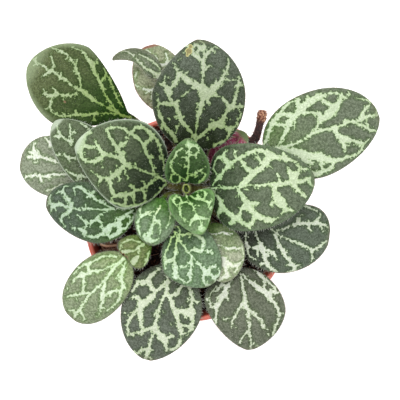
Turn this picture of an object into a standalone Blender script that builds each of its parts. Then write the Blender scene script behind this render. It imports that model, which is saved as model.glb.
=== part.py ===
"""A potted primulina: a flat rosette of marbled leaves on a short crown, in a small plastic pot.

The world's origin is the middle of the pot's underside, +Z is up and the rosette is seen from above
with +X to the right and +Y away. Sizes below are in millimetres, and the leaves' heights are counted
from the pot's rim. The mesh itself is in metres.
"""
import math
from typing import NamedTuple

import bmesh
import bpy
import numpy as np

MM = 0.001
CLEARANCE = 0.35            # gap between pieces that touch on the real plant
CUT_PAST = 2.0              # how far a cutter reaches past the face that it opens

# Pot: turned, with a band under a rolled lip and a ring of drainage holes.
POT_HEIGHT = 70.0
RIM_RADIUS = 39.2
BASE_RADIUS = 27.0
WALL = 1.2
FLOOR = 1.6
BAND_HEIGHT = 9.0
BAND_STEP = 1.3
BAND_TAPER = 0.5
BAND_BEVEL = 0.4
LIP = 1.0
FOOT_BEVEL = 0.8
DRAIN_HOLES = 8
DRAIN_RADIUS = 2.5
DRAIN_SIDES = 16
DRAIN_CIRCLE = 18.5
DRAIN_TURN = 11.0           # degrees from +X to the first hole
TURNED_STEPS = 40

# Soil: fills the pot to a little under the band, with a lumpy top.
SOIL_TOP = 62.0
SOIL_RINGS = 5
SOIL_LUMP = 0.7
SOIL_DOME = 1.0             # what lies above this far under the top is lumpy

# Crown: the short stem that carries the leaves, off the pot's middle as the plant has grown.
CROWN_AT = (-0.3, 11.3)
CROWN_FOOT = -18.0          # from the rim
CROWN_TOP = 13.5
CROWN_SOIL_RADIUS = 4.0
CROWN_TOP_RADIUS = 1.1
CROWN_SCAR = 0.25
SCAR_HEIGHT = 0.5
SCAR_SPACING = 2.4
CROWN_STEPS = 14

# Bud: tiny leaves joined to the crown's top, two of them pressed together round a slit.
# Direction in degrees, size, and distance from the crown's axis.
BUD_LEAVES = ((8, 1.0, 0.78), (188, 0.95, 0.78), (98, 0.75, 1.25), (278, 0.78, 1.25))
BUD_HALF_HEIGHT = 1.9
BUD_HALF_WIDTH = 1.25
BUD_HALF_THICKNESS = 0.55
BUD_LEAN = 8
BUD_RISE = 1.0              # middle of the largest above the crown's top

# Leaves: petiole section, blade thickness and how finely a leaf is divided.
PETIOLE_HALF_WIDTH = 1.3
PETIOLE_HALF_DEPTH = 0.95
BLADE_HALF_DEPTH = 0.33
MIDRIB_DEPTH = 0.5
MIDRIB_HALF_WIDTH = 1.2
PETIOLE_ROWS = 4
BLADE_ROWS = 12
ACROSS = 8
SMALL_LEAF = 9.0            # a leaf no wider than this on either side is divided less
SMALL_BLADE_ROWS = 9
SMALL_ACROSS = 6

# Dried stalk: the cut stump of an old stalk, which leans out over the rim and ends in a knob.
STALK_RADIUS = 1.6
STALK_SIDES = 14            # of its hole
STALK_PATH = (              # x, y, height over the rim and radius
    (15.5, 23.5, -14.0, 1.6),
    (15.5, 23.5, -7.0, 1.6),
    (16.2, 24.0, -4.0, 1.6),
    (19.0, 25.8, -0.6, 1.6),
    (22.4, 28.0, 1.7, 1.6),
    (25.5, 30.2, 2.8, 1.6),
    (26.7, 33.4, 3.6, 1.4),
    (27.5, 36.4, 4.0, 1.35),
    (28.0, 37.9, 4.1, 1.75),
    (28.2, 39.9, 4.2, 1.7),
    (28.3, 41.0, 4.2, 1.05),
)


class Finish(NamedTuple):
    """A material's name, its colour and its roughness."""
    name: str
    colour: tuple
    roughness: float


ORANGE_PLASTIC = Finish("orange plastic", (0.62, 0.25, 0.15), 0.45)
DARK_SOIL = Finish("dark soil", (0.045, 0.028, 0.018), 0.95)
CROWN_GREEN = Finish("crown green", (0.30, 0.42, 0.12), 0.6)
LEAF_GREEN = Finish("leaf green", (0.13, 0.20, 0.10), 0.55)
PALE_GREEN = Finish("pale leaf green", (0.26, 0.33, 0.20), 0.55)
YOUNG_GREEN = Finish("young leaf green", (0.10, 0.24, 0.06), 0.55)
UNDERSIDE_RED = Finish("underside red", (0.23, 0.05, 0.09), 0.55)
DRIED_BROWN = Finish("dried brown", (0.13, 0.055, 0.03), 0.85)


class Side(NamedTuple):
    """One half of a blade: two quarter superellipses that meet where it is widest."""
    width: float            # half-width where it is widest
    widest: float           # how far along the blade that is, 0 to 1
    base: float = 2.0       # power of the curve toward the petiole: 1 is straight, 2 is round
    tip: float = 1.8        # power of the curve toward the tip


class Leaf(NamedTuple):
    """One leaf: where its blade begins and ends, how wide it is and how it arches."""
    name: str
    root: float             # height at which the petiole leaves the crown
    base: tuple             # where the blade begins
    tip: tuple
    middle: float           # height of the midrib halfway along the blade
    left: Side              # looking from the crown to the tip
    right: Side
    bow: float = 0.0        # how far the midrib bows to the right
    cup: float = -1.3       # how far the margins lie above the midrib
    roll: float = 0.0       # rise per millimetre toward the right
    notch: float = 0.0      # how far the lobes reach past the tip
    petiole: float = 1.0    # thickness of the petiole next to the others'
    wave: float = 0.35      # how far the margins wave up and down
    phase: float = 0.0      # where the wave begins, in turns
    finish: Finish = LEAF_GREEN


LEAVES = (
    Leaf("leaf_behind_top", -5.0, (-7.0, 39.6, 1.9), (-14.1, 66.2, -1.0), 3.4,
         Side(9.9, 0.48, 1.6, 2.3), Side(10.1, 0.5, 2.0, 1.75), phase=0.2, finish=PALE_GREEN),
    Leaf("leaf_far_left", -5.0, (-31.2, 15.5, 2.6), (-63.7, 21.6, -1.5), 4.2,
         Side(10.8, 0.55, 2.0, 2.0), Side(12.2, 0.6, 2.0, 2.3), phase=0.5, finish=PALE_GREEN),
    Leaf("leaf_bottom", -5.0, (-6.6, -17.5, 1.4), (-15.4, -54.1, -4.0), 3.8,
         Side(16.0, 0.44, 2.0, 1.63), Side(14.2, 0.5, 1.9, 1.85), phase=0.1),
    Leaf("leaf_bottom_right", -5.0, (19.2, -18.7, 1.2), (23.8, -50.2, -4.0), 3.8,
         Side(15.6, 0.55, 1.9, 1.68), Side(14.4, 0.35, 1.9, 1.48), phase=0.7),
    Leaf("leaf_upper_right", -4.0, (29.3, 24.8, 3.5), (72.8, 39.4, 0.0), 6.5,
         Side(16.7, 0.5, 2.15, 2.05), Side(15.6, 0.42, 2.0, 1.72), phase=0.3),
    Leaf("leaf_bottom_left", -2.5, (-23.2, -14.0, 3.6), (-44.1, -37.7, 0.0), 5.2,
         Side(10.8, 0.48, 2.0, 2.2), Side(11.2, 0.5, 1.9, 2.2), phase=0.6, finish=PALE_GREEN),
    Leaf("leaf_upper_left", -2.5, (-22.8, 39.0, 4.5), (-60.3, 58.8, 0.5), 6.8,
         Side(15.6, 0.55, 1.35, 1.7), Side(16.0, 0.58, 1.25, 1.8), phase=0.9, finish=YOUNG_GREEN),
    Leaf("leaf_lower_right", -2.5, (19.9, -2.7, 3.4), (53.8, -8.1, 0.0), 6.2,
         Side(12.0, 0.7, 2.0, 2.5), Side(15.2, 0.47, 2.3, 1.8), phase=0.4),
    Leaf("leaf_turned_over", -1.5, (8.2, 20.4, 4.0), (22.4, 32.2, 5.0), 5.5,
         Side(6.0, 0.5), Side(5.8, 0.5), cup=0.8, petiole=0.8, finish=UNDERSIDE_RED),
    Leaf("leaf_left_shoulder", 0.0, (-24.6, 12.4, 6.5), (-50.2, 36.4, 6.5), 9.4,
         Side(11.2, 0.4, 2.0, 1.8), Side(9.7, 0.5, 2.0, 1.7), phase=0.8),
    Leaf("leaf_small_round", 0.0, (-14.2, -7.3, 7.0), (-22.8, -14.6, 5.6), 8.5,
         Side(6.8, 0.5), Side(6.8, 0.5), notch=3.0, petiole=0.8, finish=PALE_GREEN),
    Leaf("leaf_arched", 0.0, (8.0, -2.0, 5.0), (15.0, -23.8, 4.6), 7.4,
         Side(10.3, 0.5), Side(7.6, 0.5), cup=-1.6, phase=0.15, finish=PALE_GREEN),
    Leaf("leaf_folded", 2.0, (-10.2, 52.9, 8.0), (-28.3, 59.7, 5.5), 9.5,
         Side(3.6, 0.2, 2.0, 1.05), Side(3.4, 0.35, 2.0, 2.0), bow=4.1, cup=2.0, wave=0.2,
         petiole=0.8, finish=PALE_GREEN),
    Leaf("leaf_lower_left", 3.0, (-18.8, 4.1, 9.0), (-53.1, 5.6, 6.8), 11.8,
         Side(13.8, 0.42, 1.9, 1.6), Side(9.1, 0.6, 2.0, 2.1), phase=0.25),
    Leaf("leaf_small_left", 6.0, (-9.0, 7.5, 10.4), (-14.1, -9.7, 11.0), 13.0,
         Side(7.0, 0.45), Side(8.4, 0.45), petiole=0.8, phase=0.55),
    Leaf("leaf_inner_bottom", 4.5, (-5.3, -2.6, 9.3), (8.5, -25.1, 7.0), 11.4,
         Side(10.5, 0.45, 2.0, 2.2), Side(12.0, 0.5, 1.5, 1.55), phase=0.35),
    Leaf("leaf_big_top", 7.0, (2.2, 25.8, 12.0), (4.4, 67.2, 10.0), 15.5,
         Side(16.3, 0.48, 2.0, 1.4), Side(18.4, 0.49, 2.3, 1.83), phase=0.05),
    Leaf("leaf_big_right", 7.0, (8.9, 11.2, 12.0), (47.7, 15.0, 9.5), 15.5,
         Side(15.8, 0.3, 2.9, 1.75), Side(17.0, 0.38, 2.8, 1.8), phase=0.65),
    Leaf("leaf_big_left", 8.0, (-8.2, 13.1, 13.0), (-41.8, 27.6, 11.0), 16.5,
         Side(15.0, 0.36, 1.7, 1.4), Side(18.0, 0.44, 1.9, 1.7), phase=0.45),
    Leaf("leaf_young_top", 12.0, (-0.3, 13.7, 14.0), (0.7, 30.0, 19.0), 18.2,
         Side(8.3, 0.38, 2.8, 1.7), Side(8.6, 0.45, 2.3, 1.6), notch=-2.0, petiole=0.55, finish=YOUNG_GREEN),
    Leaf("leaf_young_bottom", 12.0, (-0.4, 8.6, 14.5), (5.9, -5.6, 15.5), 17.3,
         Side(10.9, 0.5, 2.5, 1.7), Side(6.9, 0.4, 2.8, 1.6), notch=-3.8, bow=0.9, petiole=0.55, phase=0.5,
         finish=YOUNG_GREEN),
)


def clear_scene() -> None:
    """Remove whatever the file opened with."""
    for item in list(bpy.data.objects):
        bpy.data.objects.remove(item, do_unlink=True)


def make_collection(name: str) -> bpy.types.Collection:
    """Add an empty collection to the scene."""
    collection = bpy.data.collections.new(name)
    bpy.context.scene.collection.children.link(collection)
    return collection


def make_material(finish: Finish) -> bpy.types.Material:
    """A Principled material of one colour, made once for each finish."""
    material = bpy.data.materials.get(finish.name)
    if material:
        return material
    material = bpy.data.materials.new(finish.name)
    material.use_nodes = True
    shader = material.node_tree.nodes["Principled BSDF"]
    shader.inputs["Base Color"].default_value = (*finish.colour, 1.0)
    shader.inputs["Roughness"].default_value = finish.roughness
    material.diffuse_color = (*finish.colour, 1.0)
    return material


def add_object(collection, name, data, material=None) -> bpy.types.Object:
    """Put a mesh or a curve in the collection under a name."""
    item = bpy.data.objects.new(name, data)
    collection.objects.link(item)
    if material:
        data.materials.append(material)
    return item


def turned(collection, name, profile, steps, material=None, at=(0.0, 0.0)) -> bpy.types.Object:
    """A profile of (radius, height) points in millimetres, turned round a vertical axis."""
    mesh = bpy.data.meshes.new(name)
    points = [(radius * MM, 0.0, height * MM) for radius, height in profile]
    edges = [(i, i + 1) for i in range(len(points) - 1)]
    mesh.from_pydata(points, edges, [])
    item = add_object(collection, name, mesh, material)
    item.location = (at[0] * MM, at[1] * MM, 0.0)
    screw = item.modifiers.new("Turn", "SCREW")
    screw.steps = steps
    screw.render_steps = steps
    screw.use_merge_vertices = True
    screw.merge_threshold = 0.00001
    return item


def settle(item: bpy.types.Object) -> None:
    """Replace an object's data by its evaluated mesh, with its place in the mesh."""
    bpy.context.view_layer.update()
    seen = item.evaluated_get(bpy.context.evaluated_depsgraph_get())
    mesh = bpy.data.meshes.new_from_object(seen)
    mesh.transform(item.matrix_world)
    item.modifiers.clear()
    item.data = mesh
    item.location = (0.0, 0.0, 0.0)


def cut(item: bpy.types.Object, cutter: bpy.types.Object) -> None:
    """Cut one object out of another, and keep the cutter as a wire guide."""
    cutter.hide_render = True
    cutter.display_type = "WIRE"
    boolean = item.modifiers.new("Cut " + cutter.name, "BOOLEAN")
    boolean.operation = "DIFFERENCE"
    boolean.object = cutter


def cylinder(collection, name, radius, low, high, at, sides=20) -> bpy.types.Object:
    """An upright cylinder between two heights, in millimetres."""
    mesh = bpy.data.meshes.new(name)
    shape = bmesh.new()
    bmesh.ops.create_cone(shape, cap_ends=True, segments=sides, radius1=radius * MM,
                          radius2=radius * MM, depth=(high - low) * MM)
    shape.to_mesh(mesh)
    shape.free()
    item = add_object(collection, name, mesh)
    item.location = (at[0] * MM, at[1] * MM, (low + high) / 2 * MM)
    return item


def arc(centre, radius, start, end, count) -> list:
    """Points on a circular arc, with the angles in degrees."""
    angles = np.radians(np.linspace(start, end, count))
    return [(centre[0] + radius * math.cos(a), centre[1] + radius * math.sin(a)) for a in angles]


def body_radius(height: float) -> float:
    """Outer radius of the pot's tapered body."""
    top = RIM_RADIUS - LIP - BAND_STEP
    return BASE_RADIUS + (top - BASE_RADIUS) * height / (POT_HEIGHT - BAND_HEIGHT)


def build_pot(parts, cutters) -> None:
    """The pot, open at the top, with its drainage holes."""
    band_foot = POT_HEIGHT - BAND_HEIGHT
    lip_centre = (RIM_RADIUS - LIP, POT_HEIGHT - LIP)
    profile = [(0.0, FLOOR), (body_radius(FLOOR) - WALL, FLOOR)]
    profile += [(body_radius(band_foot) - WALL, band_foot)]
    profile += arc(lip_centre, LIP, 180, 0, 5)
    profile += [(RIM_RADIUS - BAND_TAPER, band_foot + BAND_BEVEL)]
    profile += [(RIM_RADIUS - BAND_TAPER - BAND_BEVEL, band_foot)]
    profile += [(body_radius(band_foot), band_foot), (body_radius(FOOT_BEVEL), FOOT_BEVEL)]
    profile += [(BASE_RADIUS - FOOT_BEVEL, 0.0), (0.0, 0.0)]
    pot = turned(parts, "pot", profile, TURNED_STEPS, make_material(ORANGE_PLASTIC))
    for number in range(DRAIN_HOLES):
        angle = math.radians(DRAIN_TURN + 360 * number / DRAIN_HOLES)
        at = (DRAIN_CIRCLE * math.cos(angle), DRAIN_CIRCLE * math.sin(angle))
        hole = cylinder(cutters, f"drain_hole_{number + 1}", DRAIN_RADIUS, -CUT_PAST, FLOOR + CUT_PAST,
                        at, DRAIN_SIDES)
        cut(pot, hole)
    settle(pot)
    pot.data.shade_smooth()
    pot.data.set_sharp_from_angle(angle=math.radians(35))


def soil_lump(x: float, y: float) -> float:
    """Height of the soil's lumps at a place in millimetres: three crossing waves."""
    broad = 0.6 * math.sin(0.31 * x + 0.5) * math.cos(0.27 * y)
    fine = 0.35 * math.sin(0.62 * y - 0.35 * x) + 0.3 * math.sin(0.9 * x + 0.7 * y)
    return SOIL_LUMP * (broad + fine)


def build_soil(parts, cutters) -> None:
    """The soil, with a plain hole for the crown and one for the dried stalk."""
    floor = FLOOR + CLEARANCE
    top_radius = body_radius(SOIL_TOP - SOIL_DOME) - WALL - CLEARANCE
    profile = [(top_radius * i / SOIL_RINGS, SOIL_TOP) for i in range(SOIL_RINGS + 1)]
    profile += [(body_radius(floor) - WALL - CLEARANCE, floor), (0.0, floor)]
    soil = turned(parts, "soil", profile, TURNED_STEPS, make_material(DARK_SOIL))
    settle(soil)
    for vertex in soil.data.vertices:
        x, y, z = vertex.co / MM
        if z > SOIL_TOP - SOIL_DOME:
            vertex.co.z += soil_lump(x, y) * MM
    hole_top = SOIL_TOP + SOIL_LUMP + CUT_PAST
    crown_hole = CROWN_SOIL_RADIUS + CLEARANCE
    foot = POT_HEIGHT + CROWN_FOOT - CLEARANCE
    cut(soil, cylinder(cutters, "crown_hole", crown_hole, foot, hole_top, CROWN_AT))
    stalk_at = STALK_PATH[0][:2]
    foot = POT_HEIGHT + STALK_PATH[0][2] - CLEARANCE
    cut(soil, cylinder(cutters, "stalk_hole", STALK_RADIUS + CLEARANCE, foot, hole_top, stalk_at,
                       STALK_SIDES))
    settle(soil)
    soil.data.shade_smooth()
    soil.data.set_sharp_from_angle(angle=math.radians(40))


def crown_radius(height):
    """Radius of the crown at a height above the rim."""
    along = np.clip((height - SOIL_TOP + POT_HEIGHT) / (CROWN_TOP - SOIL_TOP + POT_HEIGHT), 0, 1)
    return CROWN_SOIL_RADIUS + (CROWN_TOP_RADIUS - CROWN_SOIL_RADIUS) * along


def half_width(s, side: Side):
    """Half-width of one side of a blade at s, from 0 at its base to 1 at its tip."""
    toward_base = s < side.widest
    away = np.where(toward_base, 1 - s / side.widest, (s - side.widest) / (1 - side.widest))
    power = np.where(toward_base, side.base, side.tip)
    return side.width * np.clip(1 - np.abs(away) ** power, 0, 1) ** (1 / power)


def smooth_step(low, high, x):
    """A step from 0 to 1 with level ends."""
    t = np.clip((x - low) / (high - low), 0, 1)
    return t * t * (3 - 2 * t)


def midrib(leaf: Leaf, s):
    """Points and tangents of the midrib at s: -1 at the crown, 0 at the blade's base, 1 at its tip.

    The blade's part is a parabola through the base, the middle and the tip. The petiole is a Hermite
    curve from the crown's side to the base, which leaves the crown level and meets the blade smoothly.
    """
    base, tip = np.array(leaf.base), np.array(leaf.tip)
    chord = tip - base
    ahead = chord[:2] / np.hypot(*chord[:2])
    rise = leaf.middle - (base[2] + tip[2]) / 2
    arch = 4 * np.array([ahead[1] * leaf.bow, -ahead[0] * leaf.bow, rise])
    along = np.clip(s, 0, 1)[..., None]
    blade = base + chord * along + arch * along * (1 - along)
    blade_tangent = chord + arch * (1 - 2 * along)
    out = base[:2] - np.array(CROWN_AT)
    out = out / np.hypot(*out)
    start = np.append(np.array(CROWN_AT) + out * (crown_radius(leaf.root) + CLEARANCE), leaf.root)
    reach = np.linalg.norm(base - start)
    leave = np.append(out, 0.1) * reach
    meet = (chord + arch) / np.linalg.norm(chord + arch) * reach
    t = np.clip(s + 1, 0, 1)[..., None]
    petiole = ((2 * t**3 - 3 * t**2 + 1) * start + (t**3 - 2 * t**2 + t) * leave
               + (3 * t**2 - 2 * t**3) * base + (t**3 - t**2) * meet)
    petiole_tangent = ((6 * t**2 - 6 * t) * (start - base) + (3 * t**2 - 4 * t + 1) * leave
                       + (3 * t**2 - 2 * t) * meet)
    in_blade = (s >= 0)[..., None]
    return np.where(in_blade, blade, petiole), np.where(in_blade, blade_tangent, petiole_tangent)


def leaf_middle(leaf: Leaf, s, v):
    """Points halfway through the leaf, at s along it and v across it, from -1 (left) to 1 (right)."""
    centre, tangent = midrib(leaf, s)
    ahead = tangent[..., :2] / np.linalg.norm(tangent[..., :2], axis=-1, keepdims=True)
    right = np.stack([ahead[..., 1], -ahead[..., 0]], axis=-1)
    blade = np.clip(s, 0, 1)
    side = np.where(v < 0, half_width(blade, leaf.left), half_width(blade, leaf.right))
    share = side / np.where(v < 0, leaf.left.width, leaf.right.width)
    neck = PETIOLE_HALF_WIDTH * leaf.petiole * np.sqrt(1 - blade)
    width = np.hypot(neck, side)
    points = centre.copy()
    points[..., :2] += right * (v * width)[..., None] + ahead * (leaf.notch * v**2 * share)[..., None]
    ripple = np.sin(2 * np.pi * (1.6 * s + leaf.phase + 0.3 * (v > 0)))
    points[..., 2] += leaf.roll * v * width * smooth_step(-0.1, 0.3, s)
    points[..., 2] += v**2 * share * (leaf.cup + leaf.wave * ripple)
    return points, v * width


def leaf_faces(leaf: Leaf, s, v):
    """Upper and lower points of the leaf: an oval petiole that flattens into a thin blade."""
    step = 0.001
    points, across = leaf_middle(leaf, s, v)
    inner_s, inner_v = np.clip(s, -0.98, 0.97), np.where(s < 1, np.clip(v, -0.98, 0.98), 0)
    along = leaf_middle(leaf, inner_s + step, inner_v)[0] - leaf_middle(leaf, inner_s - step, inner_v)[0]
    aside = leaf_middle(leaf, inner_s, inner_v + step)[0] - leaf_middle(leaf, inner_s, inner_v - step)[0]
    normal = np.cross(aside, along)
    normal /= np.linalg.norm(normal, axis=-1, keepdims=True)
    flat = smooth_step(-0.1, 0.3, s)
    oval = PETIOLE_HALF_DEPTH * leaf.petiole * np.sqrt(1 - 0.85 * v**2)
    keel = MIDRIB_DEPTH * (1 - np.clip(s, 0, 1)) * np.exp(-(across / MIDRIB_HALF_WIDTH) ** 2)
    upper = (1 - flat) * oval + flat * BLADE_HALF_DEPTH
    lower = (1 - flat) * oval + flat * (BLADE_HALF_DEPTH + keel)
    return points + normal * upper[..., None], points - normal * lower[..., None]


def leaf_mesh(leaf: Leaf, petiole_rows: int, blade_rows: int, across: int) -> bpy.types.Mesh:
    """A closed leaf, both faces split into triangles alike, in metres."""
    along = (1 - np.cos(np.pi * np.linspace(0, 1, blade_rows + 1))) / 2
    s = np.concatenate([np.linspace(-1, 0, petiole_rows, endpoint=False), along])
    v = np.linspace(-1, 1, across + 1)
    s_grid, v_grid = np.meshgrid(s, v, indexing="ij")
    upper, lower = leaf_faces(leaf, s_grid, v_grid)
    rows, columns = s_grid.shape
    lift = np.array([0.0, 0.0, POT_HEIGHT])
    points = (np.concatenate([upper.reshape(-1, 3), lower.reshape(-1, 3)]) + lift) * MM
    under = rows * columns
    faces = []
    for i in range(rows - 1):
        for j in range(columns - 1):
            a, b = i * columns + j, i * columns + j + 1
            c, d = a + columns, b + columns
            halves = ((a, b, d), (a, d, c)) if j < across / 2 else ((a, b, c), (b, d, c))
            for one, two, three in halves:
                faces.append((one, three, two))
                faces.append((under + one, under + two, under + three))
        for j, turn in ((0, 1), (columns - 1, -1)):
            a, c = i * columns + j, (i + 1) * columns + j
            faces.append((a, under + a, under + c, c)[::turn])
    rim = list(range(columns))
    faces.append([under + j for j in rim] + rim[::-1])
    mesh = bpy.data.meshes.new(leaf.name)
    mesh.from_pydata(points.tolist(), [], faces)
    shape = bmesh.new()
    shape.from_mesh(mesh)
    bmesh.ops.remove_doubles(shape, verts=shape.verts, dist=0.00001)
    bmesh.ops.recalc_face_normals(shape, faces=shape.faces)
    shape.to_mesh(mesh)
    shape.free()
    mesh.shade_smooth()
    mesh.set_sharp_from_angle(angle=math.radians(60))
    return mesh


def build_leaves(parts) -> None:
    """Every leaf of the rosette, each a piece of its own."""
    for leaf in LEAVES:
        small = max(leaf.left.width, leaf.right.width) <= SMALL_LEAF
        rows, across = (SMALL_BLADE_ROWS, SMALL_ACROSS) if small else (BLADE_ROWS, ACROSS)
        mesh = leaf_mesh(leaf, PETIOLE_ROWS, rows, across)
        add_object(parts, leaf.name, mesh, make_material(leaf.finish))


def build_crown(parts) -> None:
    """The crown with its leaf scars, and the bud's tiny leaves joined to its top."""
    profile = [(0.0, CROWN_TOP)]
    for height in np.arange(CROWN_TOP - SCAR_HEIGHT, SOIL_TOP - POT_HEIGHT - SOIL_DOME, -SCAR_SPACING):
        profile += [(crown_radius(height) - CROWN_SCAR, height + SCAR_HEIGHT),
                    (crown_radius(height), height)]
    profile += [(CROWN_SOIL_RADIUS - CROWN_SCAR, CROWN_FOOT + CROWN_SOIL_RADIUS / 2),
                (CROWN_SOIL_RADIUS / 2, CROWN_FOOT), (0.0, CROWN_FOOT)]
    profile = [(radius, height + POT_HEIGHT) for radius, height in profile]
    crown = turned(parts, "crown", profile, CROWN_STEPS, make_material(CROWN_GREEN), CROWN_AT)
    settle(crown)
    bud_parts = make_collection("bud")
    for number, (turn, size, reach) in enumerate(BUD_LEAVES):
        angle = math.radians(turn)
        shape = bmesh.new()
        bmesh.ops.create_uvsphere(shape, u_segments=8, v_segments=6, radius=MM)
        stretch = (BUD_HALF_THICKNESS, BUD_HALF_WIDTH * size, BUD_HALF_HEIGHT * size)
        bmesh.ops.scale(shape, vec=stretch, verts=shape.verts)
        mesh = bpy.data.meshes.new("bud")
        shape.to_mesh(mesh)
        shape.free()
        leaflet = add_object(bud_parts, f"bud_leaf_{number + 1}", mesh)
        leaflet.rotation_euler = (0.0, math.radians(BUD_LEAN), angle)
        leaflet.location = ((CROWN_AT[0] + reach * math.cos(angle)) * MM,
                            (CROWN_AT[1] + reach * math.sin(angle)) * MM,
                            (POT_HEIGHT + CROWN_TOP + BUD_RISE * size) * MM)
    join = crown.modifiers.new("Bud", "BOOLEAN")
    join.operation = "UNION"
    join.operand_type = "COLLECTION"
    join.collection = bud_parts
    settle(crown)
    for leaflet in list(bud_parts.objects):
        bpy.data.objects.remove(leaflet, do_unlink=True)
    bpy.data.collections.remove(bud_parts)
    crown.data.shade_smooth()
    crown.data.set_sharp_from_angle(angle=math.radians(50))


def build_stalk(parts) -> None:
    """The dried stump, which swells to a knob at its end."""
    curve = bpy.data.curves.new("dried_stalk", "CURVE")
    curve.dimensions = "3D"
    curve.bevel_depth = STALK_RADIUS * MM
    curve.bevel_resolution = 2
    curve.use_fill_caps = True
    spline = curve.splines.new("POLY")
    spline.points.add(len(STALK_PATH) - 1)
    for number, (x, y, height, radius) in enumerate(STALK_PATH):
        point = spline.points[number]
        point.co = (x * MM, y * MM, (POT_HEIGHT + height) * MM, 1.0)
        point.radius = radius / STALK_RADIUS
    stalk = add_object(parts, "dried_stalk", curve, make_material(DRIED_BROWN))
    tube = add_object(parts, "dried_stalk_tube", bpy.data.meshes.new("tube"))
    bpy.context.view_layer.update()
    seen = stalk.evaluated_get(bpy.context.evaluated_depsgraph_get())
    tube.data = bpy.data.meshes.new_from_object(seen)
    bpy.data.objects.remove(stalk, do_unlink=True)
    tube.name = "dried_stalk"
    shape = bmesh.new()
    shape.from_mesh(tube.data)
    bmesh.ops.remove_doubles(shape, verts=shape.verts, dist=0.00001)
    bmesh.ops.recalc_face_normals(shape, faces=shape.faces)
    shape.to_mesh(tube.data)
    shape.free()
    tube.data.shade_smooth()
    tube.data.set_sharp_from_angle(angle=math.radians(50))


def build() -> None:
    """Model the whole potted plant."""
    clear_scene()
    parts = make_collection("potted_primulina")
    cutters = make_collection("cutters")
    build_pot(parts, cutters)
    build_soil(parts, cutters)
    build_crown(parts)
    build_stalk(parts)
    build_leaves(parts)


build()
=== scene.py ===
"""The look of a potted primulina: a marbled, hairy rosette in a small orange plastic pot.

Sizes are in millimetres and heights are counted from the pot's rim, unless a line says otherwise. The
meshes themselves are in metres, with the origin in the middle of the pot's underside.
"""
import logging
import math
from collections.abc import Iterator
from dataclasses import dataclass, field
from enum import Enum

import bmesh
import bpy
import numpy as np
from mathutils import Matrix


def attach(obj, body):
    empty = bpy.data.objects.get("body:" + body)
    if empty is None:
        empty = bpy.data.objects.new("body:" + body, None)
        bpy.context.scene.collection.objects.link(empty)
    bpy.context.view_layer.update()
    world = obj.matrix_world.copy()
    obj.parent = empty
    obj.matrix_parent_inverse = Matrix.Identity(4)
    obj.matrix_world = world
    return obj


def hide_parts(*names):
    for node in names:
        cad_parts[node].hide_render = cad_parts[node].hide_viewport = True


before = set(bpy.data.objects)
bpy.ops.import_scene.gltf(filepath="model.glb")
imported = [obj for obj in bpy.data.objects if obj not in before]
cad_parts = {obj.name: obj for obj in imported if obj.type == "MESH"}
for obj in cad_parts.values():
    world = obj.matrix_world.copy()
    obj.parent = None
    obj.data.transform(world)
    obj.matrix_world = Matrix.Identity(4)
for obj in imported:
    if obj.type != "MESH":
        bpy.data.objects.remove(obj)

logging.basicConfig(level=logging.INFO, format="%(name)s: %(message)s")
LOG = logging.getLogger("primulina")

MM = 0.001
POT_HEIGHT = 70.0
SOIL_TOP = -8.0
CROWN_AT = np.array([-0.3, 11.3])
CLEARANCE = 0.35                    # between the crown and the petioles
EYE = np.array([4.79, 7.14])        # the point that the view from above is centred on
EYE_HEIGHT = 600.0                  # above the rim
VIEW_WIDTH = 152.0                  # what the view takes in at the rim's height
VIEW_STEPS = 400                    # the view's width in the units of the vein sketches
LIGHT_LEVEL = 1.5                   # white light on a level surface, next to a surface's own colour

HAIR_LEVEL = (0.31, 0.17, 0.93)     # which way a hair's foot is turned
HAIR_CORNERS = -np.arange(3) * 2 * np.pi / 3    # angles of its three corners

Colour = tuple[float, float, float]
Patch = tuple[np.ndarray, np.ndarray | None, np.ndarray]    # points, four-sided and three-sided faces


def seen(red: float, green: float, blue: float) -> Colour:
    """Turn a colour as it is seen, 0 to 255 in the sRGB curve, into a surface's own linear colour.

    Args:
        red: Seen red.
        green: Seen green.
        blue: Seen blue.

    Returns:
        The linear colour, with the studio's light level taken out.
    """
    values = np.array([red, green, blue]) / 255
    linear = np.where(values > 0.04045, ((values + 0.055) / 1.055) ** 2.4, values / 12.92)
    return tuple(float(value) for value in linear / LIGHT_LEVEL)


def smooth_step(low: float, high: float, x: np.ndarray) -> np.ndarray:
    """Rise from 0 to 1 between two values, with level ends: 3t² − 2t³."""
    t = np.clip((x - low) / (high - low), 0, 1)
    return t * t * (3 - 2 * t)


def through(points: np.ndarray, steps: int) -> np.ndarray:
    """Draw a smooth curve through points.

    Each span is the Catmull-Rom cubic, whose slope at a point is half the way between its neighbours.

    Args:
        points: Points to pass through, one a row.
        steps: Points on each span.

    Returns:
        The curve's points, the last one included.
    """
    before = np.concatenate([2 * points[:1] - points[1:2], points[:-2]])
    after = np.concatenate([points[2:], 2 * points[-1:] - points[-2:-1]])
    start, end = points[:-1], points[1:]
    t = (np.arange(steps) / steps)[None, :, None]
    start, end, before, after = (item[:, None] for item in (start, end, before, after))
    curve = 0.5 * (2 * start + (end - before) * t + (2 * before - 5 * start + 4 * end - after) * t**2
                   + (3 * start - before - 3 * end + after) * t**3)
    return np.concatenate([curve.reshape(-1, points.shape[1]), points[-1:]])


def bumps(place: np.ndarray, wave: float, seed: int, count: int = 7) -> np.ndarray:
    """A smooth random relief between about −1 and 1: sine waves in seeded directions, added up.

    Args:
        place: Points, with two or three coordinates in the last axis.
        wave: Length of the waves.
        seed: Which relief.
        count: How many waves are added.

    Returns:
        The relief at each point.
    """
    draw = np.random.default_rng(seed)
    way = unit(draw.normal(size=(count, place.shape[-1])))
    way *= 2 * np.pi / wave * draw.uniform(0.6, 1.6, (count, 1))
    turns = place @ way.T + draw.uniform(0, 2 * np.pi, count)
    return np.sin(turns).sum(-1) / math.sqrt(count)


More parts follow.
